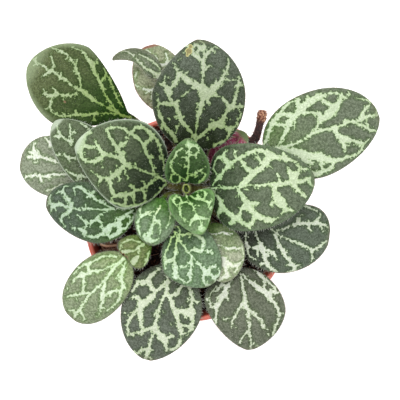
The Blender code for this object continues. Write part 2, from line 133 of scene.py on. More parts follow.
def add_object(name: str, data: bpy.types.ID) -> bpy.types.Object:
    """Put a mesh, a light or a camera into the scene."""
    made = bpy.data.objects.new(name, data)
    bpy.context.scene.collection.objects.link(made)
    return made


@dataclass
class Skin:
    """A mesh in the making: points in millimetres from the rim, faces, marks and finishes."""
    points: np.ndarray = field(default_factory=lambda: np.zeros((0, 3)))
    quads: np.ndarray = field(default_factory=lambda: np.zeros((0, 4), int))
    triangles: np.ndarray = field(default_factory=lambda: np.zeros((0, 3), int))
    finish_of_quads: np.ndarray = field(default_factory=lambda: np.zeros(0, int))
    finish_of_triangles: np.ndarray = field(default_factory=lambda: np.zeros(0, int))
    marks: dict[str, np.ndarray] = field(default_factory=dict)

    def add(self, points: np.ndarray, quads: np.ndarray | None = None, triangles: np.ndarray | None = None,
            finish: int = 0, **marks: np.ndarray) -> None:
        """Join more faces on.

        Args:
            points: Their points.
            quads: Four-sided faces, as rows of indices into those points.
            triangles: Three-sided faces, likewise.
            finish: Which of the piece's materials they have.
            marks: Values of each point, by the name that the material reads. One left out is 0.
        """
        start = len(self.points)
        self.points = np.concatenate([self.points, points.reshape(-1, 3)])
        if quads is not None:
            self.quads = np.concatenate([self.quads, quads + start])
            self.finish_of_quads = np.append(self.finish_of_quads, np.full(len(quads), finish))
        if triangles is not None:
            self.triangles = np.concatenate([self.triangles, triangles + start])
            self.finish_of_triangles = np.append(self.finish_of_triangles, np.full(len(triangles), finish))
        for name in {**self.marks, **marks}:
            old = self.marks.get(name, np.zeros(start))
            new = np.broadcast_to(marks.get(name, 0.0), points.shape[:-1]).ravel()
            self.marks[name] = np.concatenate([old, new])

    def make(self, name: str, materials: list[bpy.types.Material]) -> bpy.types.Object:
        """Turn it into an object that rides on the part.

        Args:
            name: The piece's name.
            materials: Its materials, in the order of the finishes' numbers.

        Returns:
            The object, at the origin.
        """
        mesh = bpy.data.meshes.new(name)
        mesh.vertices.add(len(self.points))
        mesh.vertices.foreach_set("co", ((self.points + [0, 0, POT_HEIGHT]) * MM).ravel())
        corners = np.concatenate([self.quads.ravel(), self.triangles.ravel()])
        sizes = np.concatenate([np.full(len(self.quads), 4), np.full(len(self.triangles), 3)])
        mesh.loops.add(len(corners))
        mesh.loops.foreach_set("vertex_index", corners)
        mesh.polygons.add(len(sizes))
        mesh.polygons.foreach_set("loop_start", np.cumsum(sizes) - sizes)
        finishes = np.concatenate([self.finish_of_quads, self.finish_of_triangles])
        mesh.polygons.foreach_set("material_index", finishes)
        mesh.polygons.foreach_set("use_smooth", np.ones(len(sizes), bool))
        for mark, values in self.marks.items():
            mesh.attributes.new(mark, "FLOAT", "POINT").data.foreach_set("value", values.astype(np.float32))
        mesh.update(calc_edges=True)
        mesh.validate()
        for material in materials:
            mesh.materials.append(material)
        piece = add_object(name, mesh)
        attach(piece, "root")
        return piece


def sheet_quads(rows: int, columns: int, closed: bool = False) -> np.ndarray:
    """Faces of a grid of points, row after row.

    Args:
        rows: Rows of points.
        columns: Points in a row.
        closed: Whether each row is a ring.

    Returns:
        Four indices a face, anticlockwise where the columns run to the right and the rows up.
    """
    first = np.arange(rows - 1)[:, None] * columns
    here = np.arange(columns if closed else columns - 1)
    beside = (here + 1) % columns
    return np.stack([first + here, first + beside, first + beside + columns, first + here + columns],
                    axis=-1).reshape(-1, 4)


def fan(ring: np.ndarray, centre: int, flip: bool = False) -> np.ndarray:
    """Triangles from a ring of points to one point, turned over if flip is set."""
    faces = np.stack([ring, np.roll(ring, -1), np.full(len(ring), centre)], axis=1)
    return faces[:, ::-1] if flip else faces


def capped(points: np.ndarray, start: np.ndarray, end: np.ndarray) -> Patch:
    """Close a stack of rings with a fan of triangles to one point at each end.

    Args:
        points: Rows of points, each row a ring.
        start: The point that closes the first ring.
        end: The point that closes the last ring.

    Returns:
        All the points, the four-sided faces and the three-sided faces.
    """
    rows, columns = points.shape[:2]
    ring = np.arange(columns)
    caps = [fan(ring, rows * columns, flip=True), fan((rows - 1) * columns + ring, rows * columns + 1)]
    return (np.concatenate([points.reshape(-1, 3), [start, end]]), sheet_quads(rows, columns, closed=True),
            np.concatenate(caps))


def repeated(faces: np.ndarray, points: int, count: int) -> np.ndarray:
    """The faces of one small shape of so many points, repeated for a count of such shapes."""
    return (faces + (np.arange(count) * points)[:, None, None]).reshape(-1, faces.shape[1])


def turned(rows: np.ndarray, count: int) -> list[np.ndarray]:
    """A grid that goes all the way round: each row's value, and the angle of each column."""
    return np.meshgrid(rows, np.linspace(0, 2 * np.pi, count, endpoint=False), indexing="ij")


def polar(radius: np.ndarray, angle: np.ndarray) -> np.ndarray:
    """Places on a plan at a radius and an angle."""
    return np.stack([radius * np.cos(angle), radius * np.sin(angle)], axis=-1)


def unit(vectors: np.ndarray) -> np.ndarray:
    """Vectors brought to length 1."""
    return vectors / np.maximum(np.linalg.norm(vectors, axis=-1, keepdims=True), 1e-9)


def spokes(ways: np.ndarray, level: tuple[float, float, float], angles: np.ndarray) -> np.ndarray:
    """Unit vectors square to each way: side·cos a + up·sin a, where side is square to the way and a level.

    Args:
        ways: Unit vectors.
        level: A direction that none of the ways has.
        angles: How far each spoke is turned from the side, in radians.

    Returns:
        A row of spokes for each way.
    """
    side = unit(np.cross(ways, level))
    up = np.cross(side, ways)
    return side[..., None, :] * np.cos(angles)[:, None] + up[..., None, :] * np.sin(angles)[:, None]


def long_hairs(roots: np.ndarray, ways: np.ndarray, lengths: np.ndarray, thick: np.ndarray,
               droop: float) -> Patch:
    """Three-sided hairs that taper from a closed foot through a bend to a point.

    The foot is a small triangle across the hair's way, the bend a smaller one halfway along, and the
    point lies at the full length, turned down by the droop.

    Args:
        roots: Where the hairs grow.
        ways: Unit vectors that they leave along.
        lengths: Their lengths.
        thick: Their radii at the foot.
        droop: How far the point sinks, as a share of the length.

    Returns:
        The points, the four-sided faces and the three-sided faces.
    """
    ring = spokes(ways, HAIR_LEVEL, HAIR_CORNERS) * thick[:, None, None]
    down = np.array([0, 0, -droop]) * lengths[:, None]
    foot = (roots - ways * 0.1)[:, None] + ring
    bend = (roots + ways * lengths[:, None] * 0.5 + down * 0.25)[:, None] + ring * 0.62
    point = (roots + ways * lengths[:, None] + down)[:, None]
    quads = np.array([[0, 1, 4, 3], [1, 2, 5, 4], [2, 0, 3, 5]])
    triangles = np.array([[3, 4, 6], [4, 5, 6], [5, 3, 6], [0, 2, 1]])
    return (np.concatenate([foot, bend, point], axis=1), repeated(quads, 7, len(roots)),
            repeated(triangles, 7, len(roots)))


def short_hairs(roots: np.ndarray, ways: np.ndarray, lengths: np.ndarray, thick: np.ndarray) -> Patch:
    """Straight hairs of four faces: a foot of three points, and one point at the full length.

    Args:
        roots: Where the hairs grow.
        ways: Unit vectors that they leave along.
        lengths: Their lengths.
        thick: Their radii at the foot.

    Returns:
        The points, no four-sided faces, and the three-sided faces.
    """
    foot = (roots - ways * 0.08)[:, None] + spokes(ways, HAIR_LEVEL, HAIR_CORNERS) * thick[:, None, None]
    points = np.concatenate([foot, (roots + ways * lengths[:, None])[:, None]], axis=1)
    return points, None, repeated(np.array([[0, 1, 3], [1, 2, 3], [2, 0, 3], [0, 2, 1]]), 4, len(roots))


class Blend(Enum):
    """How two colours are laid over each other."""
    MIX = "MIX"
    MULTIPLY = "MULTIPLY"


class Paint:
    """A material in the making, with its nodes added by plain calls."""

    def __init__(self, name: str, roughness: float) -> None:
        """Start a Principled material.

        Args:
            name: The material's name.
            roughness: Its roughness, the same all over.
        """
        self.material = bpy.data.materials.new(name)
        self.material.use_nodes = True
        self.tree = self.material.node_tree
        self.shader = self.tree.nodes["Principled BSDF"]
        self.shader.inputs["Roughness"].default_value = roughness

    def put(self, socket: bpy.types.NodeSocket, value: object) -> None:
        """Feed a socket with a link, a number or a colour."""
        if isinstance(value, bpy.types.NodeSocket):
            self.tree.links.new(value, socket)
        elif isinstance(value, tuple) and len(socket.default_value) == 4:
            socket.default_value = (*value, 1.0)
        else:
            socket.default_value = value

    def node(self, kind: str, result: str | int, settings: dict[str, object] | None = None,
             **inputs: object) -> bpy.types.NodeSocket:
        """Add a node.

        Args:
            kind: Its type without the words ShaderNode.
            result: Which output is wanted.
            settings: Its own properties.
            inputs: Values or links for its sockets, with _ for a space.

        Returns:
            The output socket.
        """
        node = self.tree.nodes.new("ShaderNode" + kind)
        for name, value in (settings or {}).items():
            setattr(node, name, value)
        for name, value in inputs.items():
            self.put(node.inputs[name.replace("_", " ")], value)
        return node.outputs[result]

    def math(self, operation: str, *values: object, kind: str = "Math") -> bpy.types.NodeSocket:
        """Work out one number from others, or one vector with the kind VectorMath."""
        node = self.tree.nodes.new("ShaderNode" + kind)
        node.operation = operation
        for socket, value in zip(node.inputs, values):
            self.put(socket, value)
        return node.outputs[0]

    def rise(self, value: object, low: float, high: float, to: float = 1.0) -> bpy.types.NodeSocket:
        """A smooth rise from 0 to a number as a value goes from low to high, or a fall if low is higher."""
        node = self.tree.nodes.new("ShaderNodeMapRange")
        node.interpolation_type = "SMOOTHSTEP"
        self.put(node.inputs["Value"], value)
        ends = ((low, 0.0), (high, to)) if low < high else ((high, to), (low, 0.0))
        for (place, result), side in zip(ends, ("Min", "Max")):
            node.inputs["From " + side].default_value = place
            node.inputs["To " + side].default_value = result
        return node.outputs["Result"]

    def lay(self, share: object, under: object, over: object, way: Blend = Blend.MIX) -> bpy.types.NodeSocket:
        """Lay one colour over another by a share."""
        node = self.tree.nodes.new("ShaderNodeMix")
        node.data_type = "RGBA"
        node.blend_type = way.value
        self.put(node.inputs["Factor"], share)
        self.put(node.inputs[6], under)
        self.put(node.inputs[7], over)
        return node.outputs[2]

    def cloudy(self, share: object, deep: Colour, light: Colour) -> bpy.types.NodeSocket:
        """A colour between two as they are seen, by a share."""
        return self.lay(share, seen(*deep), seen(*light))

    def tinted(self, colour: object, share: float, factor: object) -> bpy.types.NodeSocket:
        """A colour multiplied by a factor, as far as a share."""
        return self.lay(share, colour, factor, Blend.MULTIPLY)

    def swayed(self, value: object, noise: object, reach: float) -> bpy.types.NodeSocket:
        """A value pushed up and down by noise, with a reach from lowest to highest."""
        push = self.math("MULTIPLY", self.math("SUBTRACT", noise, 0.5), reach)
        return self.math("ADD", value, push)

    def mark(self, name: str) -> bpy.types.NodeSocket:
        """A value that the mesh carries."""
        return self.node("Attribute", "Fac", {"attribute_name": name})

    def place(self) -> bpy.types.NodeSocket:
        """The place on the object, in millimetres."""
        spot = self.node("TexCoord", "Object")
        return self.node("Mapping", "Vector", Vector=spot, Scale=(1000.0, 1000.0, 1000.0))

    def warped(self, size: float, reach: float) -> bpy.types.NodeSocket:
        """The place in millimetres, pushed about by noise of a size, as far as its reach."""
        push = self.node("TexNoise", "Color", Vector=self.place(), Scale=1 / size, Detail=2.0)
        push = self.math("SUBTRACT", push, (0.5, 0.5, 0.5), kind="VectorMath")
        push = self.math("MULTIPLY", push, (2 * reach, 2 * reach, 2 * reach), kind="VectorMath")
        return self.math("ADD", push, self.place(), kind="VectorMath")

    def noise(self, size: float, detail: float = 3.0, rough: float = 0.55) -> bpy.types.NodeSocket:
        """Cloudy noise between 0 and 1 with clouds of a size in millimetres."""
        return self.node("TexNoise", "Fac", Vector=self.place(), Scale=1 / size, Detail=detail,
                         Roughness=rough)

    def cells(self, size: float, result: str = "Distance") -> bpy.types.NodeSocket:
        """Cells of a size in millimetres: the distance from each one's middle."""
        return self.node("TexVoronoi", result, Vector=self.place(), Scale=1 / size)

    def bump(self, height: object, depth: float, strength: float = 1.0) -> None:
        """Raise the surface by a height between 0 and 1, with the depth in millimetres."""
        self.put(self.shader.inputs["Normal"], self.node(
            "Bump", "Normal", Height=height, Distance=depth * MM, Strength=strength))

    def colour(self, value: object) -> None:
        """Set the surface's colour."""
        self.put(self.shader.inputs["Base Color"], value)

    def set(self, **values: object) -> None:
        """Set the shader's other sockets, with _ for a space."""
        for name, value in values.items():
            self.put(self.shader.inputs[name.replace("_", " ")], value)


@dataclass(frozen=True)
class LeafFinish:
    """The colours of one leaf, as seen, and how its marbling is drawn."""
    dark: Colour                            # dark islands of the outer blade
    pale: Colour                            # veins of the outer blade
    base: Colour                            # islands by the petiole: own deeper green and painted shade
    base_vein: Colour                       # veins next to the petiole
    reach: float = 0.6                      # how far along the blade the base's colours go
    ragged: float = 1.0                     # how jagged the veins' edges are
    band: float = 1.0                       # width of the band along the margin: hairy, on some leaves painted sheen
    band_share: float = 0.12                # how strong it is at the margin
    band_from: float = -2.0                 # where along the leaf it begins
    margin: Colour = (150, 170, 130)        # its colour
    rim: Colour = (112, 108, 88)            # the thin line along the margin
    rim_width: float = 0.45                 # how wide that line is
    rim_share: float = 0.35                 # how strong it is
    hairy: float = 1.0                      # how many short hairs stand on it
    wine: float = 0.75                      # how red the underside is
    scar: Colour = (150, 142, 98)           # middle of a scar
    scar_rim: Colour = (206, 204, 140)      # its outline

    def dress(self, name: str, scarred: bool) -> bpy.types.Material:
        """Paint a leaf: marbled above, green or wine red below, with a hairy band along its margin.

        A point is pale where it lies inside a vein, with noise added to its distance so that the edges
        are jagged. The islands are green beside the veins and greyer in their middles: painted shade
        and painted sheen on their swelling.

        Args:
            name: The material's name.
            scarred: Whether the leaf carries scars.

        Returns:
            The material.
        """
        paint = Paint(name, 0.7)
        vein, edge, along = paint.mark("vein"), paint.mark("edge"), paint.mark("along")
        teeth, fine = paint.noise(0.85, 2.0, 0.6), paint.noise(0.38, 2.0, 0.7)
        cloud, cells = paint.noise(5.0, 2.0), paint.cells(0.7)
        speck = paint.rise(paint.noise(0.8, 2.0, 0.7), 0.36, 0.64)
        border = paint.node("TexVoronoi", "Distance", {"feature": "DISTANCE_TO_EDGE"}, Scale=1 / 2.1,
                            Vector=paint.warped(1.2, 0.6))
        swing = paint.math("ADD", paint.math("MAXIMUM", paint.math("SUBTRACT", teeth, 0.54), -0.04),
                           paint.rise(border, 0.2, 0.0, 0.2))
        nick = paint.math("MULTIPLY", paint.math("SUBTRACT", fine, 0.2), 0.22 * self.ragged)
        away = paint.math("SUBTRACT", paint.math("ADD", vein, nick),
                          paint.math("MULTIPLY", swing, 1.9 * self.ragged))
        away = paint.math("MINIMUM", away, paint.mark("thread"))
        pale = paint.rise(away, 0.02, -0.16)
        # Toward the petiole the leaf takes its base colours: its own deeper green, darkened further as
        # painted shade where the blade sinks toward the crown.
        near_base = paint.rise(paint.swayed(along, cloud, 0.4), self.reach, -0.1)
        island = paint.cloudy(near_base, self.dark, self.base)
        # Islands darker and greener beside the veins and lighter and greyer in their middles: painted shade
        # and painted sheen on the swelling islands.
        island = paint.lay(paint.rise(paint.swayed(vein, cloud, 1.2), 0.1, 1.1),
                           paint.tinted(island, 1.0, (0.78, 0.86, 0.71)),
                           paint.tinted(island, 1.0, (1.13, 1.07, 1.14)))
        island = paint.tinted(island, 0.6, paint.lay(speck, (0.5, 0.52, 0.48), (1.5, 1.48, 1.54)))
        island = paint.tinted(island, 0.6, paint.lay(cells, (1.3, 1.3, 1.32), (0.55, 0.58, 0.5)))
        light = paint.cloudy(near_base, self.pale, self.base_vein)
        light = paint.lay(paint.rise(away, -0.05, -0.5), paint.tinted(light, 1.0, (0.78, 0.88, 0.68)), light)
        light = paint.tinted(light, 0.35, paint.lay(speck, (0.7, 0.72, 0.66), (1.3, 1.28, 1.34)))
        light = paint.lay(paint.rise(fine, 0.62, 0.38, 0.3), light, island)
        marbled = paint.lay(pale, island, light)
        # The margin band: the hairy margin's own paler green, and on the upper left leaf, wide and pale,
        # painted sheen where its margin curves down.
        band = paint.rise(paint.swayed(edge, teeth, 1.2), self.band, 0.0, self.band_share)
        band = paint.math("MULTIPLY", band, paint.rise(along, self.band_from, self.band_from + 0.4))
        marbled = paint.lay(band, marbled, seen(*self.margin))
        line = paint.rise(edge, self.rim_width, 0.4 * self.rim_width, self.rim_share)
        marbled = paint.lay(line, marbled, seen(*self.rim))
        if scarred:
            scar = paint.swayed(paint.mark("spot"), teeth, 1.0)
            marbled = paint.lay(paint.rise(scar, 0.3, 0.0), marbled, seen(*self.scar_rim))
            marbled = paint.lay(paint.rise(scar, 0.0, -0.3), marbled, seen(*self.scar))
        # The petioles: olive green clouded with reddish brown, which is partly their own colour and partly
        # painted shade.
        stem = paint.cloudy(cloud, (92, 66, 52), (132, 138, 66))
        marbled = paint.lay(paint.rise(along, 0.0, -0.25, 0.8), marbled, stem)
        marbled = paint.tinted(marbled, 0.7, paint.lay(cloud, (0.8, 0.82, 0.78), (1.2, 1.18, 1.22)))
        red = paint.cloudy(cloud, (104, 42, 66), (150, 74, 96))
        red = paint.lay(paint.math("MULTIPLY", pale, 0.35), red, seen(176, 130, 120))
        belly = paint.lay(self.wine, paint.cloudy(0.4, self.dark, self.pale), red)
        paint.colour(paint.lay(paint.rise(paint.mark("under"), 0.5, 1.0), marbled, belly))
        paint.bump(paint.noise(0.45, 3.0, 0.7), 0.09)
        paint.set(Sheen_Weight=0.05, Sheen_Roughness=0.5, Sheen_Tint=(0.8, 0.9, 0.78),
                  Specular_IOR_Level=0.07)
        return paint.material


@dataclass(frozen=True)
class HairFinish:
    """Hairs of one kind, a little uneven in colour."""
    name: str
    roughness: float
    deep: Colour
    light: Colour
    cloud: float            # size of the uneven patches
    specular: float

    def dress(self) -> bpy.types.Material:
        """Make the material, once for all the pieces that share it."""
        old = bpy.data.materials.get(self.name)
        if old:
            return old
        paint = Paint(self.name, self.roughness)
        paint.colour(paint.cloudy(paint.noise(self.cloud), self.deep, self.light))
        paint.set(Specular_IOR_Level=self.specular)
        return paint.material


WHITE_HAIRS = HairFinish("white hairs", 0.4, (206, 214, 196), (236, 240, 226), 1.5, 0.6)
DRY_HAIRS = HairFinish("dry hairs", 0.6, (96, 56, 44), (170, 124, 100), 1.0, 0.5)


BOTTOM = LeafFinish((98, 108, 92), (228, 238, 210), (84, 94, 74), (221, 231, 202))
BOTTOM_RIGHT = LeafFinish((108, 117, 96), (236, 242, 223), (84, 90, 74), (207, 212, 198))
UPPER_RIGHT = LeafFinish((108, 121, 97), (220, 236, 201), (109, 134, 86), (222, 241, 205))
BEHIND_TOP = LeafFinish((152, 164, 128), (240, 249, 233), (138, 135, 101), (255, 255, 255), ragged=0.8,
                        rim=(150, 92, 84), rim_share=0.8, hairy=0.6)
FAR_LEFT = LeafFinish((138, 150, 124), (251, 255, 243), (124, 136, 108), (214, 224, 200), ragged=0.8)
LIME = LeafFinish((135, 151, 116), (234, 248, 220), (152, 174, 119), (230, 254, 210), ragged=0.8)
# Its wide pale band toward the tip is painted sheen where the margin curves down.
YOUNG = LeafFinish((97, 108, 71), (206, 217, 192), (21, 58, 0), (147, 174, 86), reach=1.15, rim_share=0.0,
                   hairy=0.35, band=2.8, band_share=0.55, band_from=0.35, margin=(170, 188, 148),
                   scar=(110, 70, 60), scar_rim=(130, 100, 80))
SHADED = LeafFinish((95, 108, 90), (229, 238, 217), (38, 38, 32), (228, 233, 219))
SHOULDER = LeafFinish((94, 108, 80), (212, 225, 199), (70, 82, 56), (182, 198, 166), rim=(206, 220, 196),
                      rim_width=0.55, rim_share=0.7)
ROUND = LeafFinish((122, 136, 88), (210, 225, 186), (70, 110, 6), (208, 243, 172), ragged=0.7,
                   scar=(66, 44, 32), scar_rim=(150, 132, 92))
# Its islands are painted far paler than the other leaves': a painted highlight on the arched blade's middle.
ARCHED = LeafFinish((175, 185, 154), (250, 254, 236), (89, 122, 54), (255, 255, 255), reach=0.8, ragged=0.8)
FOLDED = LeafFinish((117, 128, 102), (221, 224, 210), (117, 128, 108), (218, 235, 194), ragged=0.8)
LOWER_LEFT = LeafFinish((84, 100, 82), (199, 220, 195), (64, 96, 36), (211, 236, 202), reach=0.85)
SMALL_LEFT = LeafFinish((118, 141, 108), (220, 244, 209), (66, 117, 27), (245, 255, 208), ragged=0.8)
INNER = LeafFinish((116, 142, 108), (230, 249, 223), (10, 40, 0), (189, 220, 130), reach=0.6)
BIG_TOP = LeafFinish((90, 101, 84), (200, 211, 184), (18, 30, 0), (153, 174, 118), reach=0.95)
BIG_RIGHT = LeafFinish((103, 117, 92), (220, 237, 198), (14, 40, 0), (174, 206, 154), reach=0.5, band=1.0,
                       band_share=0.3, margin=(112, 160, 104))
BIG_LEFT = LeafFinish((92, 106, 78), (203, 222, 181), (0, 19, 0), (145, 167, 111), reach=0.9, band=1.4,
                      band_share=0.35, margin=(170, 196, 160), rim=(206, 220, 196), rim_width=0.55,
                      rim_share=0.7)
FRESH = LeafFinish((78, 104, 62), (203, 226, 183), (11, 45, 0), (162, 195, 115), reach=0.95, hairy=0.7,
                   band=1.7, band_share=0.4, margin=(124, 168, 104))
BRIGHT = LeafFinish((120, 148, 104), (220, 246, 202), (32, 76, 0), (200, 234, 168), reach=0.9, hairy=0.7,
                    band=1.8, band_share=0.55, margin=(140, 192, 112))
WINE = LeafFinish((190, 92, 124), (196, 184, 156), (122, 50, 72), (160, 96, 104), reach=0.8, band=1.6,
                  band_share=0.8, margin=(214, 176, 160), rim=(128, 152, 100), rim_width=1.1,
                  rim_share=0.95, hairy=3.0, wine=0.0)


@dataclass(frozen=True)
class Side:
    """One half of a blade: two quarter superellipses that meet where it is widest."""
    width: float            # half-width where it is widest
    widest: float           # how far along the blade that is, 0 to 1
    base: float = 2.0       # power of the curve toward the petiole: 1 is straight, 2 is round
    tip: float = 1.8        # power of the curve toward the tip

    def half_width(self, s: np.ndarray) -> np.ndarray:
        """Half-width at s along the blade: W·(1 − aᵖ)^(1/p), where a is how far s lies from the widest
        place, as a share of the way to the blade's end, and p is that end's power."""
        toward_base = s < self.widest
        away = np.where(toward_base, 1 - s / self.widest, (s - self.widest) / (1 - self.widest))
        power = np.where(toward_base, self.base, self.tip)
        return self.width * np.clip(1 - np.abs(away) ** power, 0, 1) ** (1 / power)


@dataclass(frozen=True)
class Sketch:
    """Veins drawn on one enlarged part of the view, in its own units to the right and down."""
    corner: tuple[float, float]     # the enlarged part's upper left corner, in view steps
    drawing: str                    # a vein a line: its full widths from start to end, or the one width
                                    # that it keeps, a colon and its points
    zoom: float = 1.425             # the drawing's units in a view step

    def veins(self) -> Iterator[tuple[np.ndarray, np.ndarray]]:
        """Read the drawing.

        Yields:
            Each vein's points on the whole view and its full widths, both in view steps.
        """
        for line in self.drawing.strip().splitlines():
            widths, points = (np.array(part.replace(",", " ").split(), float) / self.zoom
                              for part in line.split(":"))
            yield np.array(self.corner) + points.reshape(-1, 2), widths


@dataclass(frozen=True)
class Leaf:
    """One leaf: where its blade begins and ends, how wide it is, how it arches and how it looks."""
    name: str
    root: float             # height at which the petiole leaves the crown
    base: tuple[float, float, float]
    tip: tuple[float, float, float]
    middle: float           # height of the midrib halfway along the blade
    left: Side              # looking from the crown to the tip
    right: Side
    finish: LeafFinish
    bow: float = 0.0        # how far the midrib bows to the right
    cup: float = -1.3       # how far the margins lie above the midrib
    notch: float = 0.0      # how far the lobes reach past the tip
    petiole: float = 1.0    # thickness of the petiole next to the others'
    wave: float = 0.35      # how far the margins wave up and down
    phase: float = 0.0      # where the wave begins, in turns
    sketches: tuple[Sketch, ...] = ()
    spots: tuple[tuple[float, float, float], ...] = ()     # scars: places on the view and radii

    def centre_line(self, s: np.ndarray) -> tuple[np.ndarray, np.ndarray]:
        """The midrib: −1 at the crown, 0 at the blade's base and 1 at its tip.

        The blade's part is a parabola through the base, the middle and the tip. The petiole is a
        Hermite curve that leaves the crown level and meets the blade smoothly.

        Args:
            s: Places along it.

        Returns:
            Its points and its tangents.
        """
        base, tip = np.array(self.base), np.array(self.tip)
        chord = tip - base
        ahead = chord[:2] / np.hypot(*chord[:2])
        rise = self.middle - (base[2] + tip[2]) / 2
        arch = 4 * np.array([ahead[1] * self.bow, -ahead[0] * self.bow, rise])
        along = np.clip(s, 0, 1)[..., None]
        blade = base + chord * along + arch * along * (1 - along)
        blade_tangent = chord + arch * (1 - 2 * along)
        out = base[:2] - CROWN_AT
        out = out / np.hypot(*out)
        start = np.append(CROWN_AT + out * (Crown.radius(self.root) + CLEARANCE), self.root)
        reach = np.linalg.norm(base - start)
        leave = np.append(out, 0.1) * reach
        meet = (chord + arch) / np.linalg.norm(chord + arch) * reach
        t = np.clip(s + 1, 0, 1)[..., None]
        petiole = ((2 * t**3 - 3 * t**2 + 1) * start + (t**3 - 2 * t**2 + t) * leave
                   + (3 * t**2 - 2 * t**3) * base + (t**3 - t**2) * meet)
        petiole_tangent = ((6 * t**2 - 6 * t) * (start - base) + (3 * t**2 - 4 * t + 1) * leave
                           + (3 * t**2 - 2 * t) * meet)
        in_blade = (s >= 0)[..., None]
        return np.where(in_blade, blade, petiole), np.where(in_blade, blade_tangent, petiole_tangent)

    def middle_sheet(self, s: np.ndarray, v: np.ndarray) -> tuple[np.ndarray, np.ndarray]:
        """Points halfway through the leaf.

        A point lies v half-widths to the right of the midrib. The margins are lifted by the cup and
        by a sine wave, and the lobes reach forward by the notch, all growing with v².

        Args:
            s: Places along the leaf.
            v: Places across it, from −1 on the left to 1 on the right.

        Returns:
            The points, and their distance to the right of the midrib.
        """
        centre, tangent = self.centre_line(s)
        ahead = unit(tangent[..., :2])
        right = np.stack([ahead[..., 1], -ahead[..., 0]], axis=-1)
        blade = np.clip(s, 0, 1)
        side = np.where(v < 0, self.left.half_width(blade), self.right.half_width(blade))
        share = side / np.where(v < 0, self.left.width, self.right.width)
        neck = Rosette.petiole_half_width * self.petiole * np.sqrt(1 - blade)
        width = np.hypot(neck, side)
        points = centre.copy()
        points[..., :2] += right * (v * width)[..., None] + ahead * (self.notch * v**2 * share)[..., None]
        ripple = np.sin(2 * np.pi * (1.6 * s + self.phase + 0.3 * (v > 0)))
        points[..., 2] += v**2 * share * (self.cup + self.wave * ripple)
        return points, v * width

    def normals(self, s: np.ndarray, v: np.ndarray) -> np.ndarray:
        """Upward unit normals, from the differences to points a small step along and across."""
        step = 0.001
        s, v = np.clip(s, -0.98, 0.97), np.where(s < 1, np.clip(v, -0.98, 0.98), 0)
        along = self.middle_sheet(s + step, v)[0] - self.middle_sheet(s - step, v)[0]
        aside = self.middle_sheet(s, v + step)[0] - self.middle_sheet(s, v - step)[0]
        return unit(np.cross(aside, along))


def on_the_view(points: np.ndarray) -> np.ndarray:
    """Carry points along their lines of sight to the rim's plane, and give them in the view's steps.

    Args:
        points: Points in millimetres.

    Returns:
        Steps to the right and down from the view's upper left corner.
    """
    nearer = (EYE_HEIGHT - points[..., 2:]) / EYE_HEIGHT
    plan = (points[..., :2] - EYE) / nearer * VIEW_STEPS / VIEW_WIDTH
    return VIEW_STEPS / 2 + plan * [1, -1]


